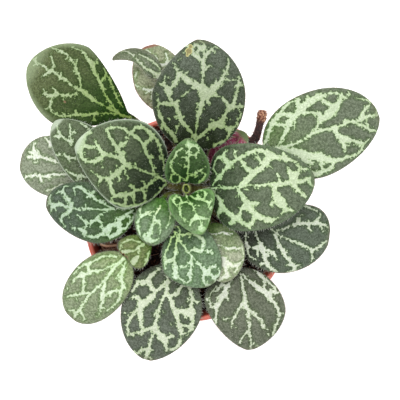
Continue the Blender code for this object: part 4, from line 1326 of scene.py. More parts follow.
@dataclass
class Soil:
    """Dark peat that fills the pot, with crumbs standing out of it and coir fibres over it."""
    top: float = SOIL_TOP
    foot: float = 1.95 - POT_HEIGHT
    rim_radius: float = 35.4
    foot_radius: float = 25.6
    hole_radius: float = 4.6
    hollow: float = 2.5                                 # how far the surface sinks round the crown
    lumps: int = 1100
    crumbs: int = 620
    fibres: int = 420
    heap: int = 220                                     # fibres heaped beside the rim at the left
    heap_at: tuple[float, float] = (-30.6, -11.4)
    heap_reach: tuple[float, float] = (4.2, 4.4)
    finish: PeatFinish = PeatFinish()

    def height(self, place: np.ndarray) -> np.ndarray:
        """Height of the surface over a plan: broad waves, and the highest of the round lumps at a point."""
        draw = np.random.default_rng(21)
        spot = draw.uniform(-self.rim_radius, self.rim_radius, (self.lumps, 2)).astype(np.float32)
        size = (0.5 + 1.9 * draw.uniform(0, 1, self.lumps) ** 3).astype(np.float32)
        flat = place.reshape(-1, 2).astype(np.float32)
        best = np.full(len(flat), -0.6, np.float32)
        for first in range(0, len(flat), 4000):
            gap = ((flat[first:first + 4000, None] - spot[None]) ** 2).sum(-1) / size**2
            bump = np.sqrt(np.clip(1 - gap, 0, 1)) * size * 0.75 - 0.6
            best[first:first + 4000] = np.maximum(best[first:first + 4000], bump.max(1))
        best = best.reshape(place.shape[:-1])
        return best + 0.35 * bumps(place, 14.0, 3) + 0.16 * bumps(place, 1.1, 4, 16)

    def build(self) -> list[bpy.types.Object]:
        """Build the soil's body, its loose crumbs and its fibres.

        Returns:
            The pieces.
        """
        rings = 120
        r, a = turned(np.linspace(0.3, self.rim_radius, rings), 4 * rings)
        plan = polar(r, a)
        z = self.top + self.height(plan) * smooth_step(self.rim_radius + 0.1, self.rim_radius - 1.0, r)
        from_crown = np.hypot(*(plan - CROWN_AT).T).T
        z -= self.hollow * smooth_step(self.hole_radius + 1.2, self.hole_radius - 0.6, from_crown)
        points = np.concatenate([plan, z[..., None]], axis=-1)
        side = points[-1:].repeat(2, axis=0)
        side[0, :, 2], side[1, :, 2] = self.top - 3, self.foot
        side[0, :, :2] *= 0.985
        side[1, :, :2] *= self.foot_radius / self.rim_radius
        middle = [0, 0, points[0, :, 2].mean()]
        flat, quads, caps = capped(np.concatenate([points, side]), middle, [0, 0, self.foot])
        skin = Skin()
        skin.add(flat, quads[:, ::-1], caps[:, ::-1])
        body = skin.make("scene_soil", [self.finish.dress()])
        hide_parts("soil")
        return [body, self.build_crumbs(), self.build_fibres()]

    def scatter(self, count: int, draw: np.random.Generator) -> np.ndarray:
        """Random places on the surface, clear of the crown."""
        r = (self.rim_radius - 1.2) * np.sqrt(draw.uniform(0, 1, 2 * count))
        plan = polar(r, draw.uniform(0, 2 * np.pi, 2 * count))
        plan = plan[np.hypot(*(plan - CROWN_AT).T) > self.hole_radius + 0.8][:count]
        return np.column_stack([plan, self.top + self.height(plan)])

    def build_crumbs(self) -> bpy.types.Object:
        """Scatter angular crumbs: eight-sided lumps with seeded corners, sunk a little into the peat."""
        draw = np.random.default_rng(31)
        count = self.crumbs
        where = self.scatter(count, draw)
        shape = np.array([(1, 0, 0), (0.7, 0.7, 0.1), (0, 1, 0), (-0.7, 0.7, 0.1), (-1, 0, 0),
                          (-0.7, -0.7, 0), (0, -1, 0), (0.7, -0.7, 0), (0.1, 0.1, 0.85), (0, 0, -0.7)])
        size = 0.25 + 0.85 * draw.uniform(0, 1, (count, 1, 1)) ** 2.5
        corners = shape[None] * size * draw.uniform(0.6, 1.3, (count, 10, 1))
        turn = draw.uniform(0, 2 * np.pi, count)
        c, s = np.cos(turn)[:, None], np.sin(turn)[:, None]
        corners = np.stack([corners[..., 0] * c - corners[..., 1] * s * 0.7,
                            corners[..., 0] * s + corners[..., 1] * c * 0.7, corners[..., 2]], axis=-1)
        points = where[:, None] + corners
        around, after = np.arange(8), (np.arange(8) + 1) % 8
        faces = np.concatenate([np.stack([around, after, np.full(8, 8)], 1),
                                np.stack([after, around, np.full(8, 9)], 1)])
        tone = draw.uniform(0, 1, (count, 1))
        skin = Skin()
        skin.add(points, triangles=repeated(faces, len(shape), count), tone=tone)
        piece = skin.make("peat_crumbs", [CRUMBS.dress()])
        return piece

    def build_fibres(self) -> bpy.types.Object:
        """Lay curved fibres: three-sided rods along seeded arcs that rise and dip over the crumbs."""
        draw = np.random.default_rng(41)
        count, heap, steps = self.fibres, self.heap, 9
        where = self.scatter(count, draw)
        where[:heap, :2] = draw.uniform(-1, 1, (heap, 2)) * self.heap_reach + self.heap_at
        heading = draw.uniform(0, 2 * np.pi, count)[:, None]
        bend = draw.normal(0, 0.9, count)[:, None]
        length = draw.uniform(2.0, 9.0, count)[:, None]
        t = np.linspace(-0.5, 0.5, steps)[None]
        angle = heading + bend * t
        plan = where[:, None, :2] + polar(1.0, angle) * (length * t)[..., None]
        far = np.hypot(plan[..., 0], plan[..., 1])
        plan *= np.minimum(1, (self.rim_radius - 0.8) / np.maximum(far, 1))[..., None]
        lift = draw.uniform(0.1, 1.3, count)[:, None] * (1 - 3.4 * t**2)
        lift[:heap] += draw.uniform(0.0, 6.2, heap)[:, None]
        line = np.concatenate([plan, (self.top + 0.1 + self.height(plan) * 0.6 + lift)[..., None]], axis=-1)
        thick = draw.uniform(0.05, 0.13, count)[:, None, None, None]
        tone = draw.uniform(0, 1, count)
        # the first fibre is the thick pale twig on the heap
        twig = np.array([(-33.2, -9.6, -1.4), (-30.6, -10.3, -0.5), (-26.2, -9.9, -0.4)])
        line[0], thick[0], tone[0] = through(twig, 4), 0.55, 1.0
        ring = spokes(unit(np.gradient(line, axis=1)), (0.1, 0.2, 1.0), -HAIR_CORNERS)
        points = line[:, :, None] + ring * thick
        last = 3 * steps - 3
        ends = np.array([[0, 2, 1], [last, last + 1, last + 2]])
        skin = Skin()
        skin.add(points, repeated(sheet_quads(steps, 3, closed=True), 3 * steps, count),
                 repeated(ends, 3 * steps, count), tone=tone[:, None, None])
        piece = skin.make("coir_fibres", [FIBRES.dress()])
        return piece


UPPER_LEFT_VEINS = (Sketch((20, 15), """
4 2.2: 156,146 148,144 140,140 130,135 120,129
2.2 6: 120,129 110,124 100,117 93,111
6 2: 93,111 87,107 80,104 74,101
2 3.4: 74,101 69,96 64,92 58,89
3 4: 58,89 52,84 45,80
4 1.4: 45,80 38,76 32,72 25,68
3 0.6: 24,69 22,65 24,60
2.6 0.5: 23,66 18,64
3 0.6: 24,70 20,72
4.4 1: 46,80 48,73 46,64 44,55
2 0.4: 48,70 50,72
4.4 0.8: 43,80 38,84 30,89
2.6 0.5: 59,88 59,82
2.4 0.4: 58,90 56,94
1.8 2.8: 87,107 86,98 85,90 83,83
2.8 4: 83,83 80,76 78,69
4 2: 78,69 74,66 72,62 70,59
2.6 1: 70,59 66,56 60,52 53,49 46,48
2.6 0.6: 80,82 76,80
2.4 0.4: 79,69 82,64
2.6 0.6: 69,61 65,63
2 1: 60,53 59,55
1.2 3.4: 137,137 130,126 123,117 119,108 116,100
3.4 6: 116,100 113,93 109,86 105,78 104,70
5 2.6: 104,70 98,64 93,58 92,54
1.6 0.8: 92,54 85,50 79,48 74,46
4 1: 106,69 111,69 110,64
2.6 0.6: 121,105 122,111
3 0.6: 115,92 118,88
2.4: 117,93 120,89 125,88 129,95 132,103 135,111
3.4 0.8: 135,111 139,120 143,127 146,131
1.6 0.5: 125,88 119,75
2.4 4: 85,112 78,113 70,114 64,114 56,113 52,111
4 0.6: 52,111 48,103
3.4 4: 54,113 48,115 42,115 35,112
4 0.6: 35,112 34,106
3.4 0.5: 35,112 31,114
2.6 3.4: 48,116 46,122 44,126 43,133
1.6 0.4: 43,133 36,133
2 1.2: 43,133 46,139 53,142
2.4 0.5: 64,115 62,120 65,126
2 0.4: 79,114 78,120
1.6 2.4: 139,140 130,140 120,140 110,140
4 3.4: 110,140 104,141 96,142 87,142 80,142
3.4 1.4: 80,142 70,144 64,144 56,143 50,141
3.4 0.6: 81,140 79,135
3 0.5: 64,143 60,136
3.4 1: 107,142 106,148 109,152
"""),)

LEFT_SHOULDER_VEINS = (Sketch((20, 60), """
3.4 1.6: 74,119 70,115 60,109 56,104 53,96 54,91
6 1: 56,109 49,108
3 1.2: 73,119 72,110 72,100 71,92
2.6 0.6: 72,104 80,104
2.4 1.4: 98,98 93,94 86,90
"""), Sketch((30, 140), """
2 4: 38,20 44,22 50,22 56,25 62,26 70,27 76,30
2.6 0.5: 49,22 49,18
3 1: 55,25 56,32
1.8 0.4: 48,24 46,28
2 4: 51,42 56,46 62,48 68,52 74,52 82,53
4.4 1: 69,52 69,58 66,60
4 1.4: 59,6 61,3 62,0
3 0.8: 60,6 57,8
"""))

FAR_LEFT_VEINS = (Sketch((30, 140), """
2 4.4: 48,37 44,34 38,32 30,29 22,26 14,24
5 4: 14,24 7,24 -2,24
9 4: 10,23 8,18 6,13
3.4 0.8: 6,13 6,8 10,2
4 0.6: 7,26 7,32
5 1.4: 6,19 1,17 -3,16
4 0.6: 12,20 13,14
3 4: -6,54 0,52 8,51 17,52 26,51
3.4 2.6: 26,51 33,49 40,50 48,48 55,48
4 0.6: 8,50 9,46
4.4 2.6: 16,52 16,59
2.6 0.5: 26,52 28,57
2.6 0.5: 34,49 34,46
1.6 4: 24,72 31,70 35,68 40,67 47,64
2 3.6: 21,-4 25,0 29,5 30,10
"""),)

BIG_LEFT_VEINS = (Sketch((110, 115), """
3.4 5: 79,95 72,90 65,88
2 2.4: 64,86 54,82 44,78 38,76
2.4 5: 38,76 28,71 21,69
2.2 2.6: 64,85 61,76 58,68 56,61 52,54
4: 52,54 48,45 44,37 37,31 32,26
5 0.6: 56,59 64,61
3 0.4: 49,49 44,49
2.6 0.4: 36,74 36,68
1.6 4: 76,78 76,68 74,59 72,50 70,42
4.4 5: 70,42 66,35 60,28 54,22 45,18
6 5: 45,18 37,18 33,23 31,25
5 0.8: 74,62 68,60
5 6: 60,30 58,35 54,38 48,42
2.6 3.4: -2,20 6,18 15,18 23,22 29,27
3 4: 29,27 24,33 23,39 15,42
5 4: 13,114 21,114 29,112 36,108
4 3.4: 36,108 45,105 54,100 60,93 65,88
5 2.6: 36,106 32,102 28,98
3 0.5: 50,101 48,94
2.6 3: 78,98 72,106 64,116 56,122 47,126 37,129 24,130
2.6 1.4: 24,130 15,128 6,125 -1,122
5 4: 22,115 22,129
4 3.6: 34,111 34,128
4 3.4: 48,106 49,115 50,123
"""), Sketch((20, 60), """
9 5: 84,121 89,113 92,107 101,103
"""), Sketch((80, 135), """
6 12: 7,0 6,10 2,20
12 5: 2,20 1,33 5,44 11,52
6 7: 11,52 20,52 29,52
7 8: 29,52 37,47 45,40
5 0.8: 28,52 28,60
6 0.8: 42,47 42,57
8 6: 6,18 15,24 28,24
3 9: 30,10 34,20 39,29 45,37
8 5: 45,38 54,38 64,40
5 6: 64,40 73,44 82,48
3 9: 51,-11 57,0 64,13 72,25
9 11: 72,25 78,35 80,44
11 7: 80,44 85,52 89,58 98,62
6 1: 79,22 90,20
7 2: 82,35 90,37
6 11: 89,59 81,66 74,73
11 9: 74,73 65,80 56,85
8 2: 56,85 43,85 33,79
3.4 0.8: 62,76 58,67
5 1.6: 42,87 38,92 34,98
6 2: 75,77 79,90
3.4 0.6: 88,68 95,86
2.4 0.6: 73,66 70,60
9 6: 57,85 60,93 61,103
6 9: 61,103 64,112 70,118 80,118
5 1: 67,119 59,126
2.4: 46,63 47,63
1.4 1: 22,69 28,75
""", 1.96))

BIG_TOP_VEINS = (Sketch((190, 90), """
4 5 6 10: 14,150 15,135 17,115 19,100 22,85 24,72
10 13 15 11: 24,72 27,60 30,48 34,35 38,20 40,5
4 1: 30,38 19,38
4 1: 30,50 20,50
4 1: 22,60 15,57
4 1: 25,76 33,82
4 1: 33,53 41,53
18 11 5: 46,12 49,30 55,41
10 10 7 3 7 11: 50,0 64,8 78,17 90,21 99,31 112,46
16 10 8 5: 118,50 125,35 129,20 136,0
13 7: 120,48 152,47
15 10 8 13 16: 115,50 106,60 99,70 96,80 85,95
5 1.6: 96,79 115,83
20 18 13 10 8 5 4: 88,96 72,98 58,105 47,116 34,127 22,136 15,143
8 1.6: 62,97 61,82
13 10 13: 84,98 98,104 115,113
5 1: 96,96 105,87
11 7 7 8 6: 114,112 112,124 106,135 96,146 82,151 66,158
7 4 2.5: 116,112 127,104 134,92 136,82 132,75
2.5 1.6: 142,62 143,72 140,82
5: 49,136 50,138
""", 2.85), Sketch((150, 90), """
20 10 8 10: 57,-4 58,8 61,20 66,34
7 11 15 16 8: 26,42 40,42 58,43 74,42 90,34
5 2.5: 26,42 21,27
6 7 9 10 9: 27,44 27,56 30,74 38,91 44,108 56,123
9 10 16: 56,123 70,138 82,157
7 3: 42,110 35,118
16 11 12 14 10: 82,42 85,58 91,75 98,94 112,112
10 9 9 8: 112,112 126,128 136,144 143,157
8 4: 94,88 77,84
7 1.6: 100,90 109,80
6 1.6: 98,101 90,106
8 5 2.5 3: 90,110 84,117 84,127 78,140
6: 59,89 61,92
2.5: 19,11 25,15
2.5 5 5 2.5: 98,20 110,12 118,6 127,0
""", 3.136), Sketch((150, 38), """
5 7 4 8: 137,18 127,22 117,26 106,24
7 7 10 11 7 8: 119,26 122,38 125,48 135,53 144,61 154,70
11 5: 130,50 137,39
8 8 7: 133,17 141,25 149,36
3 5: 96,43 104,36
3: 106,41 109,48
5 2.5: 82,62 88,60
2.5 4 7 13: 66,72 73,78 78,92 83,106
18 16 13: 83,104 80,114 72,128
10 11 13: 68,134 60,144 54,157
5 16 16 15 20: 86,96 94,108 104,119 120,129 138,137 158,145
10 2.5: 96,107 108,97
3 6 11 15: 44,107 41,124 45,141 54,157
5 8: 26,130 43,137
2.5: 51,112 53,115
""", 2.85), Sketch((195, 38), """
5 7 7 7 10: 14,9 25,18 26,34 26,50 23,64
8 5: 4,20 19,37
7 11 11 5: 24,64 33,51 40,40 50,31
5 4 1.6: 48,33 57,25 67,32
5 1.6: 47,36 57,41
11 11 7 7 7: 22,65 25,82 23,99 22,114 20,128
11 16 13: 20,130 17,144 15,160
10 2.5: 26,92 45,77
13 16: 14,137 -6,141
2.5 3: 30,142 46,153
23 18 11 9 6 5 3: 34,158 57,141 72,123 83,106 90,90 95,74 94,60
10 2.5: 62,130 57,116
5 1.6: 84,97 72,90
10 6 2.5 1.6: 77,119 92,119 106,119 117,121
7 1.6: 70,130 80,133
2.5 9 9 7: 125,110 124,124 121,142 119,158
7 1.6: 124,130 140,140
6 1.6: 121,137 113,140
""", 2.85))

UPPER_RIGHT_VEINS = (Sketch((260, 80), """
4 3 2.5 1.6 2.5 3.5 2.5 2.5 3 2.5 3.5 3 2: 10,69 20,68 30,65.5 39,62 46,58 52,54 58,51.5 65,49.5 72,48.5 \
    79,46.5 86,43 92,41.5 98,41 103,37.5 110,36 117,35
2.5 3 4 5 4 3 1.6 1.2: 4,66 7,60 9,52 12,44 16,38 21,32 26,26 32,21.5 38,19
1.5 2 3.5 6 5.5 6 6.5 7 7 5 1: 16,68 21,61 25,54 28,47 31,40 36,35 40,30 44,26 50,22 56,18 59,12
3 4 6: 38,18 38.5,24 42,29
2.5 4: 47.5,17 48,23
3 4 4: 13,44 20,45 28,45
5 4 5: 17,37 24,34 32,36
2.5 3 4: 37,22 38,30 35,36
3 2.5 2.5 3.5 6 5 3 2.5 4: 49,56 54,50 58,45 60,41 61,37 57,33.5 50,32.5 43,33
0.8 1: 34.5,49 35,42
5 8 8 7 4.5 3.5 3: 60,40 65,37 70,33 74,29 78,24 81,19 81.5,15
6 4 1.6 1.6 2 3.5: 57,18 62,16.5 67,14 72,13 77,13 81,16
4 3 2.5 6: 61,17 64.5,22.5 69,25 74,28
2 2 2 1: 82,18 86,18 89,15 88,11.5
4 3 2 1.5 1 0.8: 101,38 103,32 107,27 110,22.5 106,20 100,19 95,18
2.5 1.5 0.8: 113,36 116,32 115,27
3.5 3 3 1.6: 94,42 99,44.5 105,46.5 110,50 115,51
1.6 2 3: 106,38 106,43 108,48
2 0.6: 84.5,43 85,39
5 5 6 8 5 4 4 2 1: 74,48 76,52 79,57 83,59.5 88,60 94,61 100,63 104,63 109,59
4 4 2.5: 82,60 84,66 84.5,71
2.5 1.5 1 1.5 1.5: 103,63 102,67 100.5,71 97,74 94,76
2 0.5: 88,62 88.5,67
2 0.5: 93,62 94,66
2.5 4 7 7 8 8 6 3.5 2.5 1.5: 20,69 30,70 40,73 50,76 60,77 68,79.5 76,80 85,78 93,75
4 3 3 3 2: 62,80 62,88 68,89.5 72,86 74,81
5 6 4 2: 40,75 46,80 51,82.5 55,82
5 5 3 1.5: 50,91 56,94 62,92 70,90
""", 1),)

BIG_RIGHT_VEINS = (Sketch((200, 140), """
1.6 1.5 2 1.8 1.8 2 3.8 3.8 6.2 4.4 2.5: 10,48 20,47.8 32,47.5 40,46 50,45.2 62,45.3 72,44.6 80,44 90,42.5 \
    101,41.5 109,38.5
5 5.6 5.6 5.6 5 4.4 5 5 5: 41,46 45,42 50,37 54,32.5 59,30 62,27 65.5,22.5 67.5,18 69,15
1.2 1.2 3.8 2.5 2.8 5.6 3.1 2.5: 13,46 16,41 19.5,37 22,33 26,28.5 29,25.5 31,22.5 34,20.5
2.5 3.8 3.1 3.8 3.8 3.8 5.6 6.2: 34,20.5 38,19 43,16.5 49,13 55,11 61,10.5 66,12.5 70,15.5
5 4.4 3.8 2.5: 29.5,26 26,20.5 24,16 22.5,14.5
1.8 1 1 1 1.8: 22,16 18,18.5 15.5,22 14,29 17,34 18.5,37
1.8 1.5 1: 24,15 26,11.5 29,9.5
1.8 2.5 3.1: 34.5,10 36,15 36.5,19
3.1 3.1 2: 34,20.5 32.5,24 33,28
2.5 3.1 3.8 3.8 4.4: 41,18.5 43,23 46,27.5 50,30.5 53,32
2.5 1.9 3.1 5: 55,11.5 56.5,17 59,20.5 62,23.5
6.2 6.9 6.2 5: 66,13 68,16 67.5,20 65,24
3.8 0.8: 67,25 72,28
6.2 5 4.4 3.8 2 1.5: 70,15.5 76,17.5 82,18 88,19.5 94,21 97,24
3.8 3.1 2.5: 84,18 83.5,15 82.5,12.5
2 2.8 4.4 7.5 7.5: 97.5,24 99,28.5 98,32 94.5,36 92.5,41
2.5 2.2 1.2: 99.5,28.5 103,29 108,29.5
1.2 3.8 6.2: 87.5,27 89,31.5 92,35
2.5 1.8: 109,41 112,46
7.5 4.4 3.8 1.8: 93,43 97,49 101,53 106,57
5 5 6.9 8.1 6.2 4.4: 75,46 74,50 75.5,55 79,59.5 83,65 86,69.5
3.8 0.8: 79,59 84.5,58.5
3.8 2.5 1.2: 76,61 71,64 72,67.5
3.1 1.9 0.8: 86,69 83,72.5 80.5,74.5
3.1 1.9 1: 86,68.5 90,69.5 94,72
2.5 5: 79.5,39.5 79,44
2.5: 77.3,34.3 78.8,36
3.1 0.8: 58,46.5 58.5,50
2.5 0.8: 47,46.5 47.5,50
2.5 4.4 3.8 5 6.9 5 6.2 5 3.8 0.8: 37,48.5 40,52 43,57.5 46,62 49,66 52,71 57,75.5 63,78.5 71,79.5 78,77.5
2.5 0.6: 39,53 36,57
3.8 2.8: 50,63.5 58.5,63.5
5.6 3.1 2.5 5: 46,65 41.5,69.5 40,74 39,77
1.2 1.6 3.1 4.4 5 4.4 6.9 5: 14,50 17,56 20.5,61 22.5,67 26,70.5 31,74.5 35.5,78 40,77
3.8 3.8 2.5 1.2: 22,68 20,71 18.5,75 18,79
2 0.8: 21,61 23,60.3
6.2 5 2.5: 35,79 33,82 31.5,85
5 3.1 4.4 1.9: 38,79 43,82.5 48,85 50,88
3.8 3.8 5: 50,85.5 52.5,81.5 55,77
3.1 0.8: 51,84 54.5,85.5
3.8 0.8: 64,79 65,82
3.1 1: 71,80 71.5,84
""", 1),)

LOWER_RIGHT_VEINS = (Sketch((240, 180), """
2.4 1.4: 44,70 50,74 56,79 70,85
2.2 3.6: 70,85 78,88 86,91 95,95 103,100
4 1.2: 103,100 113,95 118,91 125,85
3 1.4: 104,100 101,105 103,111 100,118
2.4 3: 54,72 64,69 76,64
5: 76,64 83,62 95,62 108,61
6 2.4: 108,61 115,63 120,64 126,69
7 1.2: 82,62 83,56 88,50
6 0.8: 109,60 111,55 114,48
5 0.5: 98,64 100,74
5 0.5: 115,65 118,74
1.8 2.2: 82,41 88,37 96,39 102,41
1.4 0.8: 102,41 106,43 110,46
4 5: 49,77 53,85 55,94
5 7: 55,94 61,101 64,108
6 4: 64,108 70,114 74,120
6 4: 74,120 78,125 75,130
2.4 0.6: 65,103 69,100
4 0.8: 74,122 80,122 87,120
2.4 0.6: 74,120 69,120 65,122
1.4 1: 64,132 74,130 83,130
3 4: 22,74 26,85 30,93
7 6: 30,93 33,100 35,109 38,117
6 4: 38,117 42,124 51,131
5 4: 30,96 40,100 48,104
3 1: 48,104 50,110 54,114
6 4: 32,100 26,95 20,97
3.4 0.8: 24,97 26,109
5 1: 38,119 33,119 28,119
3.4: 40,106 40,108
2 4: 9,75 9,87 12,95
5 1.6: 12,95 12,105
1.6 0.8: 13,107 18,111 23,114
"""),)

YOUNG_TOP_VEINS = (Sketch((110, 115), """
1.4 1.6: 110,93 111,78 112,65 112,56
2.4 6: 112,56 113,47 112,43
6 4: 112,43 112,38
2.4: 111,55 106,50 102,48 96,52 93,59
2.4 1.8: 93,59 88,65 87,72 89,79
3 2.6: 113,47 118,45 124,45 127,51
2.6: 127,51 122,56 115,56 113,54
1.6 0.6: 120,57 122,62
2.6 1.4: 104,60 111,62
"""), Sketch((160, 160), """
1.6 2: 25,2 21,6 24,16 29,24 37,31
2 1.4: 37,31 44,34 53,39
2.6 2.4: 37,31 39,37 34,44 30,46 24,42 21,35 23,30 27,27
1.8 1: 34,46 40,49
1.8 2.6: 56,30 64,28 71,24 79,20
2.6: 79,20 86,25 89,29 86,36 81,41 76,46
3 1.4: 80,20 87,12
2.4 1.2: 67,28 72,35
2.2 1: 78,41 74,38
1.4 2: 36,7 43,10 48,11 55,12 62,10
2 0.6: 50,12 46,18
""", 1.96))

YOUNG_BOTTOM_VEINS = (Sketch((160, 160), """
1.6 2.4: 51,70 57,81 62,90 67,97 71,105 74,112
3 2: 63,91 70,90
2 0.5: 70,90 78,91
2.4 3: 54,82 48,84 44,83 37,74 33,70
3: 33,70 28,74 26,79 29,85 34,89 39,89 42,85
2.8 2.2: 39,89 38,95 40,100 40,108 45,113
2.2 2.6: 45,113 52,119 59,122
2 0.5: 40,98 45,99
2 3.4: 60,64 65,60 74,59 83,60 89,64
4.4: 74,60 75,66 75,74
4.4: 88,62 89,70 88,78
2.4 3.6: 60,72 65,75 74,76 82,77 90,80
3.4 3: 90,80 95,85 99,92 102,98 104,101
2.2 1: 96,84 103,76
3.4 6: 59,129 60,122 65,115
7: 66,114 72,112 80,113 87,114
5 2: 87,114 94,117 98,122 101,126
3 4.4: 78,115 80,124 81,129
12: 80,134 82,135
2: 98,112 100,112
""", 1.96),)

LOWER_LEFT_VEINS = (Sketch((30, 140), """
1.6 2: 142,98 128,98 116,99 100,99 85,98 70,98 64,98
2 7: 64,98 59,96
5 3.4: 60,95 57,88 54,83 50,78
3.4 1.2: 50,78 46,74 43,74 38,76
2.6 1: 46,74 48,69 51,66 56,66
2.6 0.6: 52,84 47,83
3 0.8: 54,84 59,84
3.4 5: 59,96 52,95 44,92 38,92 33,94
5 0.8: 33,94 31,99 29,104
3.4 0.6: 35,96 37,100
4 1.4: 33,93 30,88 28,82 30,79
3 1.2: 31,92 26,90
5 4: 59,98 54,103 50,107 46,108
3 1: 46,108 45,115 48,120 50,124
2.4 3.4: 118,98 110,94 104,89 98,87 93,84
3 5: 93,84 89,80 85,78
4 3.4: 85,78 80,74 75,69 70,68 64,68
2.6 0.5: 64,69 64,77
4.4 0.8: 85,80 79,82
4 0.8: 88,78 91,73
2.4 0.6: 79,92 82,98
2 3.4: 117,99 108,101 100,107 96,111 92,115
4 5: 92,115 86,118 81,118
4 2.4: 81,118 80,122 74,125
3 0.8: 74,125 68,126 58,125
3 0.6: 86,118 88,123
3 0.6: 65,126 64,128
0.8 2: 66,106 73,111 78,116
1.4: 55,109 56,111
1.8: 57,119 58,119
3.4: 95,112 101,118 101,124 105,128
5: 74,128 79,132 77,136
3 4: 77,136 85,138 95,137 106,132 109,129
2.4 0.8: 96,138 98,140
7 8: 107,129 113,124 119,120 124,120
7 5: 125,121 128,127 124,133 118,136 113,138
5 3: 110,129 111,134 113,138
2.4: 124,134 134,126 140,120 145,113 149,105
2.6 6: 146,100 140,104 134,109 127,114
4 0.8: 127,113 120,110
6 4: 127,115 129,121
3 1.6: 140,108 144,118
"""),)

BOTTOM_LEFT_VEINS = (Sketch((40, 250), """
6 3.4: 119,13 110,21 102,30 94,41 86,50
3: 86,50 76,59 69,65 65,73 60,80 57,86
3.4 2.2: 57,86 52,89 50,94 47,98
2.6 1: 52,89 48,86 41,86
3.6 1.8: 58,86 60,92 63,97 62,100
1.8 0.8: 63,98 66,98
2.4 3.4: 109,10 96,9 88,10 80,14 72,18
3.4 1.6: 72,18 64,21 57,25 52,30 48,35
2.6 0.5: 83,12 85,15
3.6 4: 70,18 69,24 70,30
2 2.6: 108,19 98,24 90,28 83,30
4.4 7: 83,30 74,30 68,34 61,35
6 1.2: 61,35 56,38 51,39 47,46
4 3: 60,37 63,42 62,50 62,56 60,60
3 4.4: 70,61 62,61
4.4 1.2: 62,61 56,63 48,64 40,66 38,69
1.8 0.5: 54,64 52,70
2.4 6: 122,16 119,26 118,33
5 6: 118,33 116,40 117,46 118,53
5 3.4: 118,53 115,58 114,63
4 0.8: 116,30 112,35 108,39
2: 114,38 112,42 114,45
3 0.6: 118,54 122,55
3.4 1.6: 114,63 113,69 108,76 102,81 96,86
2.4 0.8: 115,64 117,66
4 7: 93,47 91,54 90,60 89,66
5 3: 89,66 90,71 88,77 86,82
3.4 1.4: 86,82 86,88 82,94
3.4 0.6: 88,69 85,69
2 0.8: 86,84 90,82 94,84
4.4 3.4: 92,64 100,60 106,58 115,58
2.4 0.6: 101,61 102,67
1.6 1: 40,54 39,56
"""),)

ROUND_VEINS = (Sketch((110, 210), """
1.6 2.2: 14,56 16,49 23,44 30,42 36,44 43,46
3.6 3: 48,49 42,52 37,56 32,58
3 6: 32,58 25,59 19,59
1.8 2.6: 42,51 41,59 40,65
7 9: 39,67 34,74
2.4: 56,58 54,64 53,70
2.6 1: 53,70 51,75 48,80
2 0.8: 53,71 47,72
"""),)

BOTTOM_VEINS = (Sketch((110, 270), """
4 6: 83,2 82,10 82,18 81,26
6 4: 81,26 80,35
5: 80,17 74,23 69,28 64,30
2.4 7: 71,-2 64,4 59,8 55,13
8 5: 55,13 56,19 59,25 64,31
7 4.4: 54,16 48,18 43,17 40,16
5 3.4: 41,17 37,23 32,30
6 10: 65,30 61,36 56,42 50,46
11 6: 49,47 44,46 40,40
5 1.6: 40,40 34,38 28,41
12 4.4: 45,49 43,56 43,64 43,72
3.4 4: 43,72 45,79 48,84
5 3.4: 39,56 34,62 30,67 27,73
3 2.4: 27,73 25,79 26,86 26,92
2 0.8: 30,65 25,64 20,62
2.4 4: 26,92 33,90 40,89 46,87
4 5.6: 46,87 52,84 59,83 65,83
3 0.5: 33,92 33,96
4 0.5: 45,88 45,94
4.4 3: 80,35 75,40 73,46
3.4 4.4: 73,46 71,53 69,61 67,68 65,75 64,82
2.4 0.6: 68,57 62,66
2.6 0.8: 74,58 78,60
9 4.4: 64,83 64,89 60,94
4: 60,94 58,99 57,106 56,112
4.4 1.6: 56,112 50,113 44,115 40,118 34,116
7 5: 56,111 53,117 52,123 50,128
5 1.6: 52,122 60,126
2.6 0.5: 56,111 61,116
9: 65,86 70,91 74,96
9 5: 74,96 78,101 80,107
5 1.2: 80,107 81,112 80,116
5 3.4: 76,98 82,96 87,94 91,94
2.6 0.5: 86,94 85,90
5 3.4: 88,112 94,110 98,105
3.4 5: 98,105 100,99 101,93 101,88
5 7: 82,35 87,42 89,50 93,58
6 5: 93,58 95,64 96,71 99,79 101,88
5: 85,38 91,35 96,33 98,28
3.4 4.4: 98,28 102,24 108,22 113,25
4.4 5.6: 113,25 115,32 117,40 116,47 114,56
5 0.6: 117,43 121,44 126,46
2.4 1: 112,40 110,45
6 10: 95,60 102,58 108,60 115,60
6 0.8: 106,62 107,70
2.4 0.6: 103,56 102,52
7 3.4: 116,61 116,70 117,76 116,81 114,86
3 0.6: 117,71 120,72
3.4 3: 99,77 106,79 112,79 116,78
3.4 1: 101,89 106,90 110,93 113,88
1.4: 87,76 88,78
"""),)

